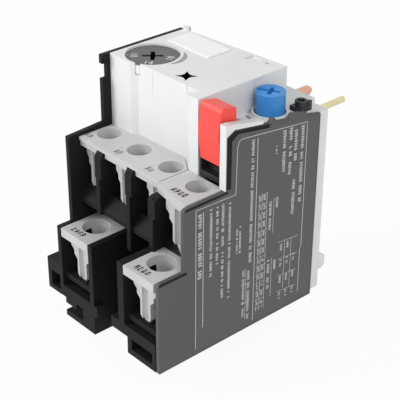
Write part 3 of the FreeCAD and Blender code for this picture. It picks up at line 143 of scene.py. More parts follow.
def moulding(name, colour, gloss=0.45, grain=0.02 * MM, spread=0.05, specular=0.45):
    """Injection-moulded plastic: faint flow clouding, uneven gloss and spark-eroded grain."""
    material, nodes, links, shader = node_tree(name)
    clouds = noise(nodes, links, 90, 3)
    coloured(nodes, links, clouds.outputs["Fac"], shader,
             shaded(colour, 1 - spread), shaded(colour, 1 + spread * 0.6), 0.30, 0.72)
    smears = noise(nodes, links, 240, 4, 0.6)
    roughened(nodes, links, smears.outputs["Fac"], shader, gloss - 0.07, gloss + 0.10)
    erosion = noise(nodes, links, 4200, 2, 0.7)
    raised(nodes, links, erosion.outputs["Fac"], shader, 0.35, grain)
    shader.inputs["Specular IOR Level"].default_value = specular
    return material


def metal(name, colour, rough=0.3, stretch=(1, 1, 1), spread=0.12):
    """Drawn, rolled or plated metal with fine lines along it and a little tarnish."""
    material, nodes, links, shader = node_tree(name)
    shader.inputs["Metallic"].default_value = 1.0
    place = nodes.new("ShaderNodeTexCoord")
    along = nodes.new("ShaderNodeMapping")
    along.inputs["Scale"].default_value = stretch
    lines = nodes.new("ShaderNodeTexNoise")
    lines.inputs["Scale"].default_value = 2600
    lines.inputs["Detail"].default_value = 3
    links.new(place.outputs["Object"], along.inputs["Vector"])
    links.new(along.outputs["Vector"], lines.inputs["Vector"])
    tarnish = noise(nodes, links, 350, 3)
    coloured(nodes, links, tarnish.outputs["Fac"], shader,
             shaded(colour, 1 - spread), shaded(colour, 1 + spread * 0.4))
    roughened(nodes, links, lines.outputs["Fac"], shader, rough - 0.08, rough + 0.14)
    raised(nodes, links, lines.outputs["Fac"], shader, 0.25, 0.01 * MM)
    return material


def ink(name, colour):
    """Pad-printed ink: matt, slightly uneven cover."""
    material, nodes, links, shader = node_tree(name)
    cover = noise(nodes, links, 1500, 2, 0.6).outputs["Fac"]
    coloured(nodes, links, cover, shader, shaded(colour, 0.80), colour, 0.25)
    roughened(nodes, links, cover, shader, 0.50, 0.72)
    return material


def woven(name, colour):
    """Glass-fibre sleeve: fine crossing yarns."""
    material, nodes, links, shader = node_tree(name)
    place = nodes.new("ShaderNodeTexCoord")
    yarns = []
    for turn in (0.7, -0.7):
        lay = nodes.new("ShaderNodeMapping")
        lay.inputs["Rotation"].default_value = (turn, turn, 0)
        yarn = nodes.new("ShaderNodeTexWave")
        yarn.inputs["Scale"].default_value = 900
        yarn.inputs["Distortion"].default_value = 0.6
        links.new(place.outputs["Object"], lay.inputs["Vector"])
        links.new(lay.outputs["Vector"], yarn.inputs["Vector"])
        yarns.append(yarn)
    weave = nodes.new("ShaderNodeMath")
    weave.operation = "MAXIMUM"
    for i, yarn in enumerate(yarns):
        links.new(yarn.outputs["Fac"], weave.inputs[i])
    coloured(nodes, links, weave.outputs["Value"], shader, shaded(colour, 0.62), colour)
    raised(nodes, links, weave.outputs["Value"], shader, 0.6, 0.08 * MM)
    shader.inputs["Roughness"].default_value = 0.85
    return material


FINISH = {
    "light_housing": moulding("light_grey_moulding", LIGHT_GREY, gloss=0.48),
    "terminal_face": moulding("terminal_face_moulding", TERMINAL_GREY, gloss=0.50),
    "dark_housing": moulding("dark_grey_moulding", DARK_GREY, gloss=0.55, specular=0.12),
    "cover": moulding("side_cover_moulding", COVER_GREY, gloss=0.52, specular=0.3),
    # near-black finish painted on faces as shade, where no light is meant to reach
    "painted_shade": moulding("unlit_hollow", UNLIT, gloss=0.9, specular=0.0),
    "clear_plate": moulding("bare_white_plate", PLATE_WHITE, gloss=0.30, grain=0.01 * MM, spread=0.02),
    "dial_plastic": moulding("dial_moulding", DIAL_GREY, gloss=0.42),
    "red_plastic": moulding("red_button_moulding", STOP_RED, gloss=0.42, grain=0.01 * MM),
    "blue_plastic": moulding("blue_button_moulding", RESET_BLUE, gloss=0.36, grain=0.01 * MM, spread=0.06),
    "inner_plastic": moulding("natural_moulding", INNER_CREAM, gloss=0.5),
    "black_plastic": moulding("black_moulding", SOOT_BLACK),
    "label": moulding("label_film", LABEL_GREY, gloss=0.38, grain=0.006 * MM, spread=0.03, specular=0.4),
    "copper": metal("bare_copper", COPPER, rough=0.32, stretch=(1, 0.05, 1)),
    "tinned_brass": metal("bare_brass", BRASS, stretch=(1, 0.05, 1)),
    "zinc_steel": metal("zinc_plate", ZINC, rough=0.34),
    "bimetal": metal("rolled_bimetal", STRIP_STEEL, rough=0.40, stretch=(1, 1, 0.05)),
    "glass_sleeve": woven("glass_fibre_sleeve", SLEEVE),
    "spring_steel": metal("spring_wire", SPRING_STEEL, rough=0.28),
    "contact_silver": metal("silver_contact", SILVER, rough=0.25),
    "white_ink": ink("white_ink", PRINT_WHITE),
    "black_ink": ink("black_ink", PRINT_BLACK),
    "grey_ink": ink("grey_ink", PRINT_GREY),
    "pale_ink": ink("pale_ink", PRINT_PALE),
    "ribbon": metal("heater_ribbon", RIBBON_STEEL, rough=0.36),
}
SLOT_OF = {row["node"]: row["material_slot"] for row in frame["record"]["subparts"]}


# ---------------------------------------------------------------- making pieces

MERGE = 0.002 * MM              # points of the loose triangles that are one corner
FLAT = math.radians(0.6)        # below this two faces are one flat face
CORNER = math.radians(32)       # above this an edge is a corner that the mould rounds
HOUSING_EDGE, FACE_EDGE, SMALL_EDGE, FINE_EDGE = 0.3 * MM, 0.2 * MM, 0.15 * MM, 0.12 * MM

def plain_object(name, mesh, finish=None):
    """A mesh as an object at the origin, with one finish."""
    if finish:
        mesh.materials.clear()
        mesh.materials.append(FINISH[finish])
    piece = bpy.data.objects.new(name, mesh)
    bpy.context.scene.collection.objects.link(piece)
    return piece


def piece_of(name, bm, finish):
    """A finished piece from a mesh in progress."""
    bmesh.ops.recalc_face_normals(bm, faces=bm.faces)
    mesh = bpy.data.meshes.new(name)
    bm.to_mesh(mesh)
    bm.free()
    return plain_object(name, mesh, finish)


def settle(piece, body, stands_for=()):
    """The piece joins its body, and takes the place of CAD nodes where it stands for them."""
    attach(piece, body)
    if stands_for:
        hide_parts(*stands_for)
    return piece


def bake(piece):
    """Turn a piece with modifiers into a plain mesh."""
    bpy.context.view_layer.update()
    depsgraph = bpy.context.evaluated_depsgraph_get()
    mesh = bpy.data.meshes.new_from_object(piece.evaluated_get(depsgraph))
    piece.modifiers.clear()
    piece.data = mesh
    return mesh


def crisp(mesh, angle):
    """Smooth shading that keeps the real corners."""
    mesh.shade_smooth()
    mesh.set_sharp_from_angle(angle=math.radians(angle))


def soft_edged(node, width, finish=None, steps=2, corner=40):
    """The node's own shape with its corners rounded as a mould leaves them."""
    source = frame["nodes"][node].data
    bm = bmesh.new()
    bm.from_mesh(source)
    bmesh.ops.remove_doubles(bm, verts=bm.verts, dist=MERGE)
    bmesh.ops.dissolve_limit(bm, angle_limit=FLAT, verts=bm.verts, edges=bm.edges)
    mesh = bpy.data.meshes.new(f"{node}_shape")
    bm.to_mesh(mesh)
    bm.free()
    piece = plain_object(f"{node}_finished", mesh, finish or SLOT_OF[node])
    bevel = piece.modifiers.new("rounded corners", "BEVEL")
    bevel.width = width
    bevel.segments = steps
    bevel.limit_method = "ANGLE"
    bevel.angle_limit = CORNER
    bevel.use_clamp_overlap = True
    bevel.miter_outer = "MITER_ARC"
    crisp(bake(piece), corner)
    level = piece.modifiers.new("flat faces stay flat", "WEIGHTED_NORMAL")
    level.keep_sharp = True
    bake(piece)
    return settle(piece, NODE_BODY[node], [node])


def repaint(piece, finish, chosen):
    """Give another finish to the faces that a test picks."""
    piece.data.materials.append(FINISH[finish])
    for face in piece.data.polygons:
        if chosen(face.center, face.normal):
            face.material_index = len(piece.data.materials) - 1


def around(node):
    """Test whether a spot lies within a distance of a node's upright axis."""
    low, high = (Vector(corner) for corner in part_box(node))
    axis = (low + high) / 2

    def near(spot, reach):
        return Vector((spot.x - axis.x, spot.y - axis.y)).length < reach

    return near


def darken_room(piece):
    """Painted shade: no light reaches the closed room below the operator face, or the thin edges of the
    star-shaped hole, so their faces are painted near black.
    """
    low, high = (Vector(corner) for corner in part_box("upper_housing"))
    plate_low, plate_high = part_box("marking_plate")
    face_top = (plate_low[2] + plate_high[2]) / 2
    high.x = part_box("stop_button")[0][0]
    middle = (low + high) / 2
    star = Vector((plate_high[0] + 4.3 * MM, plate_low[1] - 10.5 * MM))
    star_reach, star_depth = 3.6 * MM, 3.0 * MM
    well, front_wall = 7.2 * MM, 4.6 * MM
    face_skin, ceiling, faces_in = 0.2 * MM, 1.2 * MM, 1.5 * MM
    by_dial = around("setting_dial")

    def inner(spot, normal):
        if by_dial(spot, well) or spot.z > face_top - face_skin:
            return False
        if (spot.xy - star).length < star_reach and spot.z > face_top - star_depth:
            return True
        room = low.y + front_wall < spot.y and spot.x < high.x and spot.z < face_top - ceiling
        return room and (middle - spot).dot(normal) > faces_in

    # faces inside the room and the star-shaped hole get painted shade
    repaint(piece, "painted_shade", inner)


def paint_dial(piece):
    """Painted shade in the driver cross, and a pale rim below the printed face."""
    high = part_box("setting_dial")[1][2]
    near = around("setting_dial")
    cross_reach, cross_edge = 3.4 * MM, 0.15 * MM
    rim_start, rim_edge = 6.0 * MM, 0.25 * MM

    def in_cross(spot, normal):
        return near(spot, cross_reach) and spot.z < high - cross_edge

    def on_rim(spot, normal):
        return not near(spot, rim_start) and spot.z < high - rim_edge

    # the faces inside the driver cross get painted shade
    repaint(piece, "painted_shade", in_cross)
    repaint(piece, "light_housing", on_rim)


def dress_nodes():
    """Give each CAD node its finish."""
    for name, piece in frame["nodes"].items():
        piece.data.materials.clear()
        piece.data.materials.append(FINISH[SLOT_OF[name]])


# ---------------------------------------------------------------- prints

UP = Matrix.Identity(4)
SIDEWAYS = Matrix(((0, 0, 1), (0, 1, 0), (-1, 0, 0))).to_4x4()      # the print faces +X and reads downwards
INK_THICK = 0.03 * MM
INK_LIFT = Vector((0, 0, INK_THICK))


def number_print(text, size, spot, spin):
    """A plain number as a thin flat mesh, in place."""
    curve = bpy.data.curves.new("number", "FONT")
    curve.body = text
    curve.size = size
    curve.extrude = INK_THICK / 2
    curve.resolution_u = 3
    curve.align_x = "CENTER"
    curve.align_y = "CENTER"
    carrier = bpy.data.objects.new("number", curve)
    bpy.context.scene.collection.objects.link(carrier)
    bpy.context.view_layer.update()
    depsgraph = bpy.context.evaluated_depsgraph_get()
    mesh = bpy.data.meshes.new_from_object(carrier.evaluated_get(depsgraph))
    bpy.data.objects.remove(carrier)
    mesh.transform(Matrix.Translation(spot) @ Matrix.Rotation(spin, 4, "Z"))
    return mesh


def patch(bm, corners, lift):
    """A thin closed tile between a flat outline and the same outline lifted."""
    low = [bm.verts.new(c) for c in corners]
    high = [bm.verts.new(Vector(c) + lift) for c in corners]
    count = len(corners)
    bm.faces.new(low[::-1])
    bm.faces.new(high)
    for i in range(count):
        bm.faces.new((low[i], low[(i + 1) % count], high[(i + 1) % count], high[i]))


def joined(name, meshes, finish):
    """Several meshes as one piece."""
    bm = bmesh.new()
    for mesh in meshes:
        bm.from_mesh(mesh)
    return piece_of(name, bm, finish)


# ---------------------------------------------------------------- rows of plain marks in place of words

FLOAT, WHOLE, VECTOR = "NodeSocketFloat", "NodeSocketInt", "NodeSocketVector"
MARK_PITCH = 0.62               # share of a mark's height


def geometry_tree(name, inputs):
    """A geometry node tree with named inputs and one output."""
    tree = bpy.data.node_groups.new(name, "GeometryNodeTree")
    tree.interface.new_socket("Geometry", in_out="OUTPUT", socket_type="NodeSocketGeometry")
    for label, kind, value in inputs:
        tree.interface.new_socket(label, in_out="INPUT", socket_type=kind).default_value = value
    return tree, tree.nodes.new("NodeGroupInput"), tree.nodes.new("NodeGroupOutput")


def close_tree(tree, shape, finish, result):
    """End a tree: instances made real, in one finish."""
    real = tree.nodes.new("GeometryNodeRealizeInstances")
    paint = tree.nodes.new("GeometryNodeSetMaterial")
    paint.inputs["Material"].default_value = FINISH[finish]
    tree.links.new(shape, real.inputs["Geometry"])
    tree.links.new(real.outputs["Geometry"], paint.inputs["Geometry"])
    tree.links.new(paint.outputs["Geometry"], result.inputs["Geometry"])
    return tree


def grown(name, tree, values, place):
    """Run a geometry node tree and keep its result as a plain mesh in place."""
    piece = plain_object(name, bpy.data.meshes.new(name))
    modifier = piece.modifiers.new("grow", "NODES")
    modifier.node_group = tree
    sockets = {item.name: item.identifier for item in tree.interface.items_tree if item.in_out == "INPUT"}
    for label, value in values.items():
        modifier[sockets[label]] = value
    mesh = bake(piece)
    mesh.transform(place)
    return piece, mesh


def marks_tree():
    """A row of plain marks along X: upright strokes and short cross strokes at random, with gaps between."""
    tree, given, result = geometry_tree("plain_marks", [
        ("Count", WHOLE, 10), ("Pitch", FLOAT, 0.5 * MM), ("Height", FLOAT, 0.7 * MM),
        ("Thick", FLOAT, INK_THICK), ("Gaps", FLOAT, 0.17), ("Seed", WHOLE, 1)])
    link = tree.links.new

    def fill(node, values):
        for socket, value in zip(node.inputs, values):
            if isinstance(value, (int, float)):
                socket.default_value = value
            else:
                link(value, socket)

    def math_node(operation, first, second):
        node = tree.nodes.new("ShaderNodeMath")
        node.operation = operation
        fill(node, (first, second))
        return node.outputs["Value"]

    def vector(x, y, z):
        node = tree.nodes.new("ShaderNodeCombineXYZ")
        fill(node, (x, y, z))
        return node.outputs["Vector"]

    def chance(low, high, shift):
        """A random number for each mark; the shift keeps one draw apart from the next."""
        node = tree.nodes.new("FunctionNodeRandomValue")
        node.data_type = "FLOAT"
        node.inputs[2].default_value = low
        node.inputs[3].default_value = high
        link(math_node("ADD", given.outputs["Seed"], shift), node.inputs["Seed"])
        return node.outputs[1]

    pitch, height = given.outputs["Pitch"], given.outputs["Height"]
    row = tree.nodes.new("GeometryNodeMeshLine")
    link(given.outputs["Count"], row.inputs["Count"])
    link(vector(pitch, 0.0, 0.0), row.inputs["Offset"])
    gaps = tree.nodes.new("GeometryNodeDeleteGeometry")
    compare = tree.nodes.new("FunctionNodeCompare")
    compare.data_type = "FLOAT"
    compare.operation = "LESS_THAN"
    link(given.outputs["Gaps"], compare.inputs["B"])
    link(chance(0.0, 1.0, 5), compare.inputs["A"])
    link(compare.outputs["Result"], gaps.inputs["Selection"])
    link(row.outputs["Mesh"], gaps.inputs["Geometry"])
    joined_marks = tree.nodes.new("GeometryNodeJoinGeometry")
    # share of the pitch, share of the height, its place across and up, what is left of its length, its draw
    strokes = (
        (0.26, 1.0, (-0.22, -0.22), (0.0, 0.0), (0.65, 1.0), 11),
        (0.24, 0.8, (0.16, 0.26), (-0.1, 0.1), (0.0, 1.0), 23),
        (0.72, 0.2, (0.0, 0.0), (0.30, 0.40), (0.0, 1.0), 37),
        (0.66, 0.2, (0.0, 0.0), (-0.40, 0.02), (0.5, 1.0), 41),
    )
    for wide, tall, across, up, grow, shift in strokes:
        box = tree.nodes.new("GeometryNodeMeshCube")
        box_wide, box_tall = math_node("MULTIPLY", pitch, wide), math_node("MULTIPLY", height, tall)
        link(vector(box_wide, box_tall, given.outputs["Thick"]), box.inputs["Size"])
        move = tree.nodes.new("GeometryNodeSetPosition")
        link(gaps.outputs["Geometry"], move.inputs["Geometry"])
        link(vector(math_node("MULTIPLY", pitch, chance(*across, shift)),
                    math_node("MULTIPLY", height, chance(*up, shift + 1)), 0.0), move.inputs["Offset"])
        place = tree.nodes.new("GeometryNodeInstanceOnPoints")
        link(move.outputs["Geometry"], place.inputs["Points"])
        link(box.outputs["Mesh"], place.inputs["Instance"])
        scale = math_node("MAXIMUM", chance(*grow, shift + 2), 0.05)
        size = vector(scale, 1.0, 1.0) if wide > tall else vector(1.0, scale, 1.0)
        link(size, place.inputs["Scale"])
        link(place.outputs["Instances"], joined_marks.inputs["Geometry"])
    return close_tree(tree, joined_marks.outputs["Geometry"], "white_ink", result)


def marks_row(tree, start, turn, length, height, seed, gaps=0.17):
    """One row of marks that starts at a point and runs a length along its turned X."""
    pitch = height * MARK_PITCH
    values = {"Count": max(1, int(length / pitch)), "Pitch": pitch, "Height": height, "Thick": INK_THICK,
              "Gaps": gaps, "Seed": seed}
    piece, mesh = grown("row", tree, values, Matrix.Translation(start) @ turn)
    bpy.data.objects.remove(piece)
    return mesh


# ---------------------------------------------------------------- terminal marks

def terminal_marks(tree):
    """Plain marks beside the driver holes."""
    shelf_low, shelf_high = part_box("main_terminal_shelf")
    faint, clear = [], []
    for i in POLES:
        low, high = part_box(f"main_{i}_screw")
        spot = Vector(((low[0] + high[0]) / 2 - 2.9 * MM, shelf_low[1] + 2.1 * MM, shelf_high[2]))
        faint.append(marks_row(tree, spot, UP, 2.9 * MM, 1.9 * MM, seed=10 + i, gaps=0.0))
    for i, node in enumerate(("upper_aux", "left_aux", "right_aux")):
        low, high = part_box(f"{node}_insert")
        screw_low, screw_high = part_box(f"{node}_screw")
        forward = 3.1 if node == "upper_aux" else 2.0
        spot = Vector(((screw_low[0] + screw_high[0]) / 2 - 2.6 * MM, low[1] + forward * MM, high[2]))
        clear.append(marks_row(tree, spot, UP, 5.2 * MM, 2.0 * MM, seed=20 + i, gaps=0.0))
    settle(joined("pole_marks", faint, "grey_ink"), "housing")
    settle(joined("contact_marks", clear, "black_ink"), "housing")


# ---------------------------------------------------------------- small mouldings

def skirt_tips():
    """Thin pointed ends below the skirts of the terminal inserts."""
    thick = Vector((0, -0.9 * MM, 0))
    outline = [(-0.9, 0.0), (0.1, -1.5), (0.35, -2.3), (0.75, -2.3), (0.95, -1.2), (0.95, 0.0)]
    bm = bmesh.new()
    for name in CLAMPS:
        holder = "main_terminal_shelf" if name.startswith("main") else f"{name}_insert"
        skirt_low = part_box(holder)[0]
        screw_low, screw_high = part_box(f"{name}_screw")
        middle = (screw_low[0] + screw_high[0]) / 2
        front, z = skirt_low[1] + 2.5 * MM, skirt_low[2] + 0.05 * MM
        patch(bm, [Vector((middle + x * MM, front, z + up * MM)) - thick for x, up in outline], thick)
    tips = piece_of("skirt_tips", bm, "terminal_face")
    settle(tips, "housing")


def foot_web():
    """Thin web that closes the floor of the lower left block behind its hook."""
    housing_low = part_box("terminal_housing")[0]
    screw_low, screw_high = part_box("left_aux_screw")
    x = (screw_low[0] + screw_high[0]) / 2
    y, z = housing_low[1] + 7.0 * MM, housing_low[2] + 7.7 * MM
    thick = Vector((0, 0, 0.6 * MM))
    outline = [(-3.6, 0.0), (-0.6, 0.0), (-0.6, 2.2), (-1.0, 2.6), (-3.6, 2.6)]
    bm = bmesh.new()
    patch(bm, [Vector((x + across * MM, y + back * MM, z)) for across, back in outline], thick)
    settle(piece_of("foot_web", bm, "dark_housing"), "housing")


# ---------------------------------------------------------------- dial and operator face

def dial_print():
    """Plain numbers and ticks round the dial."""
    low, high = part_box("setting_dial")
    middle = Vector(((low[0] + high[0]) / 2, (low[1] + high[1]) / 2, high[2]))
    radius = (high[0] - low[0]) / 2
    first, step = 226, 40
    half_tick = 0.12 * MM
    marks = []
    for i, number in enumerate(("10", "14", "18")):
        angle = math.radians(first + 2 * step * i)
        spot = middle + Vector((math.cos(angle), math.sin(angle), 0)) * radius * 0.70
        marks.append(number_print(number, 2.5 * MM, spot, angle + math.pi / 2))
    bm = bmesh.new()
    for i in range(5):
        angle = math.radians(first + step * i)
        out = Vector((math.cos(angle), math.sin(angle), 0))
        side = Vector((-out.y, out.x, 0)) * half_tick
        near, far = middle + out * radius * 0.89, middle + out * radius * 0.97
        patch(bm, [near - side, far - side, far + side, near + side], INK_LIFT)
    ticks = bpy.data.meshes.new("ticks")
    bm.to_mesh(ticks)
    bm.free()
    settle(joined("dial_numbers", [*marks, ticks], "white_ink"), "dial")


def arc_patch(bm, middle, inner, outer, start, end, z, taper=False):
    """A flat ring segment, narrowed to points at its ends where it is a crescent."""
    steps = 18
    rim, back = [], []
    for i in range(steps + 1):
        share = i / steps
        angle = math.radians(start + (end - start) * share)
        out = Vector((math.cos(angle), math.sin(angle), 0))
        reach = outer if not taper else inner + (outer - inner) * max(0.02, math.sin(math.pi * share)) ** 0.7
        rim.append(middle + out * inner)
        back.append(middle + out * reach)
    for i in range(steps):
        corners = [rim[i], back[i], back[i + 1], rim[i + 1]]
        patch(bm, [Vector((c.x, c.y, z)) for c in corners], INK_LIFT)


def face_prints():
    """Pointer crescent beside the dial, setting arcs beside the reset button and a small arrow."""
    low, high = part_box("setting_dial")
    middle = Vector(((low[0] + high[0]) / 2, (low[1] + high[1]) / 2, 0))
    radius = (high[0] - low[0]) / 2
    plate_low, plate_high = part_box("marking_plate")
    top = (plate_low[2] + plate_high[2]) / 2
    bm = bmesh.new()
    arc_patch(bm, middle, radius + 0.9 * MM, radius + 2.1 * MM, -8, 56, top, taper=True)
    low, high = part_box("reset_button")
    middle = Vector(((low[0] + high[0]) / 2, (low[1] + high[1]) / 2, 0))
    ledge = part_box("wire_clip")[0][2]
    for start, end in ((168, 226), (238, 262)):
        arc_patch(bm, middle, 4.9 * MM, 5.9 * MM, start, end, ledge)
    settle(piece_of("pointer_marks", bm, "pale_ink"), "housing")
    bm = bmesh.new()
    spot = Vector((plate_high[0] + 6.0 * MM, plate_high[1] - 0.2 * MM, top - 0.65 * MM))
    along, across = Vector((0.55 * MM, 0.9 * MM, 0)), Vector((0.9 * MM, -0.55 * MM, 0))
    patch(bm, [spot - along, spot + across * 0.6, spot + along * 0.3, spot - across * 0.6], INK_LIFT)
    settle(piece_of("arrow_mark", bm, "grey_ink"), "housing")


# ---------------------------------------------------------------- label on the side cover

def side_label(tree):
    """Printed film on the side cover: rules, tables, rows of plain marks and bare fields.

    All places on it are (y, z) in millimetres from the low front corner of the cover.
    """
    cover_low, cover_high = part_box("side_cover")
    x, y0, z0 = cover_high[0], cover_low[1], cover_low[2]
    lift = Vector((INK_THICK, 0, 0))

    def at(y, z, level=1.0):
        return Vector((x + INK_THICK * level, y0 + y * MM, z0 + z * MM))

    film = [(10.4, 1.2), (49.2, 1.2), (49.2, 50.3), (24.6, 53.4),
            (23.4, 53.0), (22.6, 51.6), (22.6, 39.8), (10.4, 39.8)]
    bm = bmesh.new()
    patch(bm, [at(y, z, -0.9) for y, z in film], lift * 1.3)
    settle(piece_of("label_film", bm, "label"), "housing")

    # thin dark strips painted as shade: the gap along the cover's front edge, the gap along its top, and two
    # more such strips lower down
    bm = bmesh.new()
    for strip in ([(20.15, 41.0), (21.45, 40.8), (21.5, 52.6), (23.4, 53.9), (22.2, 54.9), (20.2, 53.8)],
                  [(23.3, 53.9), (33.0, 52.3), (33.0, 53.3), (22.3, 54.9)],
                  [(7.6, 40.0), (20.6, 40.0), (20.6, 40.6), (8.1, 40.6)],
                  [(0.15, 23.85), (8.3, 23.85), (8.3, 24.6), (0.15, 24.6)]):
        patch(bm, [at(y, z, -0.5) for y, z in strip], lift)
    settle(piece_of("cover_shade_strips", bm, "dark_housing"), "housing")

    bm = bmesh.new()

    def rule(ya, za, yb, zb, width=0.14):
        a, b = at(ya, za, 0.4), at(yb, zb, 0.4)
        side = (b - a).normalized().cross(Vector((1, 0, 0))) * width * MM / 2
        patch(bm, [a - side, b - side, b + side, a + side], lift)

    border = [(11.0, 2.0), (11.0, 39.3), (22.95, 38.9), (23.2, 50.8),
              (23.8, 52.1), (24.9, 52.3), (45.6, 49.8)]
    for (ya, za), (yb, zb) in zip(border, border[1:]):
        rule(ya, za, yb, zb, 0.12)
    for y, top, low in ((13.2, 38.0, 7.2), (29.45, 51.0, 1.6), (45.4, 49.4, 15.8), (45.0, 15.8, 3.0)):
        rule(y, top, y, low)
    for y, top, low in ((30.5, 36.0, 3.6), (31.5, 36.0, 3.6), (33.0, 36.0, 3.6), (35.3, 33.4, 24.0),
                        (35.3, 17.0, 6.0), (26.8, 17.6, 3.2), (39.6, 20.5, 6.5), (41.8, 20.0, 6.0)):
        rule(y, top, y, low, 0.09)
    row_pitch = 2.4
    for i in range(14):
        rule(30.0, 35.6 - row_pitch * i, 33.2, 35.6 - row_pitch * i, 0.08)
    for z in (20.4, 15.6, 10.8, 6.2):
        rule(37.4, z, 44.0, z - 0.6, 0.08)
    for z in (13.2, 8.0):
        rule(25.4, z, 28.4, z, 0.08)
    ruled = piece_of("label_rules", bm, "white_ink")

    rows = [        # y, top, bottom and height of the marks
        (12.2, 37.6, 20.5, 1.25), (15.5, 37.8, 19.5, 0.85), (17.4, 37.7, 21.6, 0.85),
        (19.1, 37.8, 12.3, 0.85), (21.2, 37.8, 11.1, 0.85), (28.0, 50.8, 18.4, 0.95),
        (24.6, 29.8, 22.3, 0.7), (23.6, 29.4, 22.6, 0.6), (38.0, 49.8, 38.5, 1.1),
        (40.1, 49.8, 36.9, 1.1), (41.8, 49.4, 40.1, 1.1), (41.7, 35.7, 25.6, 1.1),
        (44.0, 49.1, 28.0, 1.1), (34.2, 33.2, 24.4, 0.9), (36.3, 33.0, 30.0, 0.9),
        (34.2, 16.6, 8.0, 0.9), (36.3, 15.8, 13.0, 0.9), (27.6, 16.4, 2.4, 0.9),
        (26.0, 17.2, 3.4, 0.8), (35.5, 46.8, 44.4, 0.6), (38.4, 19.4, 17.0, 0.8),
        (40.6, 19.4, 17.0, 0.8),
    ]
    meshes = []

    def row(y, top, length, height, seed):
        meshes.append(marks_row(tree, at(y, top, 0.9), SIDEWAYS, length * MM, height * MM, seed))

    for i, (y, top, low, height) in enumerate(rows):
        row(y, top, top - low, height, 100 + i * 7)
    for i in range(13):
        for y, height in ((30.9, 0.55), (32.2, 0.8)):
            row(y, 35.2 - row_pitch * i, 1.7, height, 300 + i)
    for i, z in enumerate((14.9, 10.1, 5.4)):
        for y in (38.4, 40.6, 42.8):
            row(y, z, 2.0, 0.8, 400 + i)
    marks = joined("label_marks", [*meshes, ruled.data], "white_ink")
    bpy.data.objects.remove(ruled)
    settle(marks, "housing")


# ---------------------------------------------------------------- coils and windings

SPRING_WIRE = 0.21 * MM         # radius of the wire
RIBBON_WIDE, RIBBON_THICK = 1.2 * MM, 0.3 * MM
RIBBON_TURNS, RIBBON_END = 9.0, 0.8 * MM
SLEEVE_INSET = 0.55 * MM        # sleeve below the outside of its ribbon


def coil_tree():
    """Round wire wound on a helix."""
    tree, given, result = geometry_tree("wound_wire", [
        ("Turns", FLOAT, 5.0), ("Radius", FLOAT, 2 * MM),
        ("Height", FLOAT, 6 * MM), ("Wire", FLOAT, SPRING_WIRE)])
    helix = tree.nodes.new("GeometryNodeCurveSpiral")
    helix.inputs["Resolution"].default_value = 24
    ring = tree.nodes.new("GeometryNodeCurvePrimitiveCircle")
    ring.inputs["Resolution"].default_value = 8
    sweep = tree.nodes.new("GeometryNodeCurveToMesh")
    sweep.inputs["Fill Caps"].default_value = True
    link = tree.links.new
    link(given.outputs["Turns"], helix.inputs["Rotations"])
    link(given.outputs["Radius"], helix.inputs["Start Radius"])
    link(given.outputs["Radius"], helix.inputs["End Radius"])
    link(given.outputs["Height"], helix.inputs["Height"])
    link(given.outputs["Wire"], ring.inputs["Radius"])
    link(helix.outputs["Curve"], sweep.inputs["Curve"])
    link(ring.outputs["Curve"], sweep.inputs["Profile Curve"])
    return close_tree(tree, sweep.outputs["Mesh"], "spring_steel", result)


def springs():
    """Round wire springs in place of the square-wired solids."""
    tree = coil_tree()
    for node, joint, travel, turns in (("stop_spring", "stop_press", 3.2 * MM, 4.5),
                                       ("reset_spring", "reset_press", 2.5 * MM, 3.5)):
        low, high = (Vector(corner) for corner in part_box(node))
        length = high.z - low.z
        radius = (high.x - low.x) / 2 - SPRING_WIRE
        spot = ((low.x + high.x) / 2, (low.y + high.y) / 2, low.z + SPRING_WIRE)
        values = {"Turns": turns, "Radius": radius, "Height": length - 2 * SPRING_WIRE, "Wire": SPRING_WIRE}
        piece, mesh = grown(f"{node}_coil", tree, values, Matrix.Translation(spot))
        crisp(mesh, 60)
        settle(piece, NODE_BODY[node], [node])
        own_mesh(piece)


def ribbon_tree():
    """Flat ribbon wound round a strip: a helix squeezed to the strip's section."""
    tree, given, result = geometry_tree("wound_ribbon", [
        ("Turns", FLOAT, RIBBON_TURNS), ("Height", FLOAT, 20 * MM), ("Section", VECTOR, (1, 1, 1)),
        ("Ribbon", FLOAT, RIBBON_WIDE), ("Thick", FLOAT, RIBBON_THICK)])
    helix = tree.nodes.new("GeometryNodeCurveSpiral")
    helix.inputs["Resolution"].default_value = 32
    helix.inputs["Start Radius"].default_value = 1.0
    helix.inputs["End Radius"].default_value = 1.0
    squeeze = tree.nodes.new("GeometryNodeTransform")
    flat = tree.nodes.new("GeometryNodeCurvePrimitiveQuadrilateral")
    sweep = tree.nodes.new("GeometryNodeCurveToMesh")
    sweep.inputs["Fill Caps"].default_value = True
    link = tree.links.new
    link(given.outputs["Turns"], helix.inputs["Rotations"])
    link(given.outputs["Height"], helix.inputs["Height"])
    link(helix.outputs["Curve"], squeeze.inputs["Geometry"])
    link(given.outputs["Section"], squeeze.inputs["Scale"])
    link(given.outputs["Ribbon"], flat.inputs["Height"])
    link(given.outputs["Thick"], flat.inputs["Width"])
    link(squeeze.outputs["Geometry"], sweep.inputs["Curve"])
    link(flat.outputs["Curve"], sweep.inputs["Profile Curve"])
    return close_tree(tree, sweep.outputs["Mesh"], "ribbon", result)


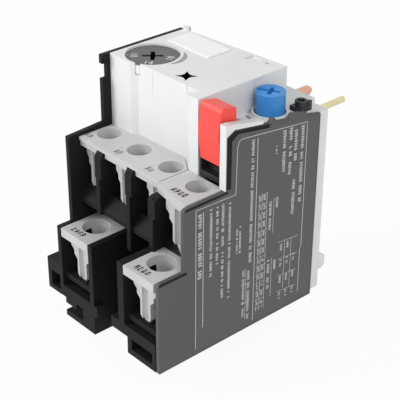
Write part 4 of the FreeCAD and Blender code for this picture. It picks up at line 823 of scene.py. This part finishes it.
def heater_windings():
    """Woven sleeve with its ribbon, in place of the plain ringed block."""
    tree = ribbon_tree()
    for i in POLES:
        node = f"heater_winding_{i}"
        low, high = (Vector(corner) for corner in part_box(node))
        middle, half = (low + high) / 2, (high - low) / 2
        size = Vector((half.x - SLEEVE_INSET, half.y - SLEEVE_INSET, half.z)) * 2
        bm = bmesh.new()
        bmesh.ops.create_cube(bm, size=1.0)
        bmesh.ops.scale(bm, vec=size, verts=bm.verts)
        bmesh.ops.translate(bm, vec=middle, verts=bm.verts)
        sleeve = piece_of(f"glass_sleeve_{i}", bm, "glass_sleeve")
        settle(sleeve, f"bimetal_{i}", [node])
        section = (half.x - RIBBON_THICK / 2, half.y - RIBBON_THICK / 2, 1.0)
        values = {"Turns": RIBBON_TURNS, "Height": high.z - low.z - 2 * RIBBON_END, "Section": section,
                  "Ribbon": RIBBON_WIDE, "Thick": RIBBON_THICK}
        start = Matrix.Translation((middle.x, middle.y, low.z + RIBBON_END))
        piece, mesh = grown(f"heater_ribbon_{i}", tree, values, start)
        crisp(mesh, 50)
        settle(piece, f"bimetal_{i}")


# ---------------------------------------------------------------- floor, light and camera

AROUND_LIGHT = 0.40
LAMP_AIM = (0, 0, 35 * MM)


def backdrop():
    """White floor that stays white to the camera and keeps a soft shadow."""
    reach, whiteness = 2.0, 0.93
    material, nodes, links, shader = node_tree("white_floor")
    shader.inputs["Base Color"].default_value = (0.9, 0.9, 0.9, 1)
    shader.inputs["Roughness"].default_value = 0.9
    glow = nodes.new("ShaderNodeEmission")
    glow.inputs["Color"].default_value = (1, 1, 1, 1)
    ray = nodes.new("ShaderNodeLightPath")
    seen = nodes.new("ShaderNodeMath")
    seen.operation = "MAXIMUM"
    share = nodes.new("ShaderNodeMath")
    share.operation = "MULTIPLY"
    share.inputs[1].default_value = whiteness
    blend = nodes.new("ShaderNodeMixShader")
    links.new(ray.outputs["Is Camera Ray"], seen.inputs[0])
    links.new(ray.outputs["Is Glossy Ray"], seen.inputs[1])
    links.new(seen.outputs["Value"], share.inputs[0])
    links.new(share.outputs["Value"], blend.inputs["Fac"])
    links.new(shader.outputs["BSDF"], blend.inputs[1])
    links.new(glow.outputs["Emission"], blend.inputs[2])
    links.new(blend.outputs["Shader"], nodes["Material Output"].inputs["Surface"])
    mesh = bpy.data.meshes.new("floor")
    corners = [(-reach, -reach, 0), (reach, -reach, 0), (reach, reach, 0), (-reach, reach, 0)]
    mesh.from_pydata(corners, [], [(0, 1, 2, 3)])
    mesh.materials.append(material)
    floor = bpy.data.objects.new("floor", mesh)
    bpy.context.scene.collection.objects.link(floor)


def surroundings():
    """White to the camera and to reflections, plain grey light otherwise."""
    world = bpy.data.worlds.new("studio")
    bpy.context.scene.world = world
    world.use_nodes = True
    nodes, links = world.node_tree.nodes, world.node_tree.links
    light = nodes["Background"]
    light.inputs["Color"].default_value = (1, 1, 1, 1)
    light.inputs["Strength"].default_value = AROUND_LIGHT
    white = nodes.new("ShaderNodeBackground")
    white.inputs["Color"].default_value = (1, 1, 1, 1)
    white.inputs["Strength"].default_value = 1.0
    ray = nodes.new("ShaderNodeLightPath")
    either = nodes.new("ShaderNodeMath")
    either.operation = "MAXIMUM"
    seen = nodes.new("ShaderNodeMath")
    seen.operation = "MAXIMUM"
    blend = nodes.new("ShaderNodeMixShader")
    links.new(ray.outputs["Is Camera Ray"], either.inputs[0])
    links.new(ray.outputs["Is Glossy Ray"], either.inputs[1])
    links.new(either.outputs["Value"], seen.inputs[0])
    links.new(ray.outputs["Is Transmission Ray"], seen.inputs[1])
    links.new(seen.outputs["Value"], blend.inputs["Fac"])
    links.new(light.outputs["Background"], blend.inputs[1])
    links.new(white.outputs["Background"], blend.inputs[2])
    links.new(blend.outputs["Shader"], nodes["World Output"].inputs["Surface"])


def lamp(name, spot, aim, size, watts):
    """A soft square lamp that faces a point."""
    data = bpy.data.lights.new(name, "AREA")
    data.size = size
    data.energy = watts
    light = bpy.data.objects.new(name, data)
    light.location = spot
    light.rotation_euler = (Vector(aim) - Vector(spot)).to_track_quat("-Z", "Y").to_euler()
    bpy.context.scene.collection.objects.link(light)


def camera():
    """Long lens, from the front right and above."""
    azimuth, elevation, roll = math.radians(47.90), math.radians(29.74), math.radians(0.33)
    distance, lens, sensor = 0.2934, 107.0, 36.0
    target = Vector((2.6 * MM, 0.3 * MM, 32.3 * MM))
    back = Vector((math.sin(azimuth) * math.cos(elevation), -math.cos(azimuth) * math.cos(elevation),
                   math.sin(elevation)))
    side = Vector((0, 0, 1)).cross(back).normalized()
    up = back.cross(side)
    turned_side = side * math.cos(roll) + up * math.sin(roll)
    turned_up = up * math.cos(roll) - side * math.sin(roll)
    data = bpy.data.cameras.new("view")
    data.lens = lens
    data.sensor_width = sensor
    data.clip_start = 0.01
    data.clip_end = 20
    view = bpy.data.objects.new("view", data)
    turn = Matrix((turned_side, turned_up, back)).transposed().to_4x4()
    view.matrix_world = Matrix.Translation(target + back * distance) @ turn
    bpy.context.scene.collection.objects.link(view)
    bpy.context.scene.camera = view


# ---------------------------------------------------------------- the relay

bpy.context.scene.view_settings.view_transform = "Standard"
camera()
surroundings()
backdrop()
lamp("key", (-0.40, -0.68, 0.53), LAMP_AIM, size=0.45, watts=5.6)
lamp("fill", (0.68, -0.26, 0.64), LAMP_AIM, size=0.8, watts=4.6)
dress_nodes()
for node in ("main_terminal_shelf", "upper_aux_insert", "left_aux_insert", "right_aux_insert"):
    soft_edged(node, FACE_EDGE, "terminal_face")
soft_edged("terminal_housing", FACE_EDGE)
soft_edged("side_cover", HOUSING_EDGE, "cover", steps=3)
darken_room(soft_edged("upper_housing", 0.28 * MM, steps=3))
soft_edged("rear_housing", HOUSING_EDGE)
paint_dial(soft_edged("setting_dial", FACE_EDGE))
soft_edged("stop_button", 0.25 * MM, steps=3, corner=5)
soft_edged("reset_button", HOUSING_EDGE, steps=3)
soft_edged("wire_clip", SMALL_EDGE)
for node in ("slot_backing", "marking_plate", "reset_bush"):
    soft_edged(node, FINE_EDGE)
for name in CLAMPS:
    soft_edged(f"{name}_screw", SMALL_EDGE)
    soft_edged(f"{name}_washer", SMALL_EDGE)
for i in POLES:
    soft_edged(f"pole_conductor_{i}", FINE_EDGE)
soft_edged("coil_pin", FINE_EDGE)
row_marks = marks_tree()
skirt_tips()
foot_web()
terminal_marks(row_marks)
dial_print()
face_prints()
side_label(row_marks)
springs()
heater_windings()
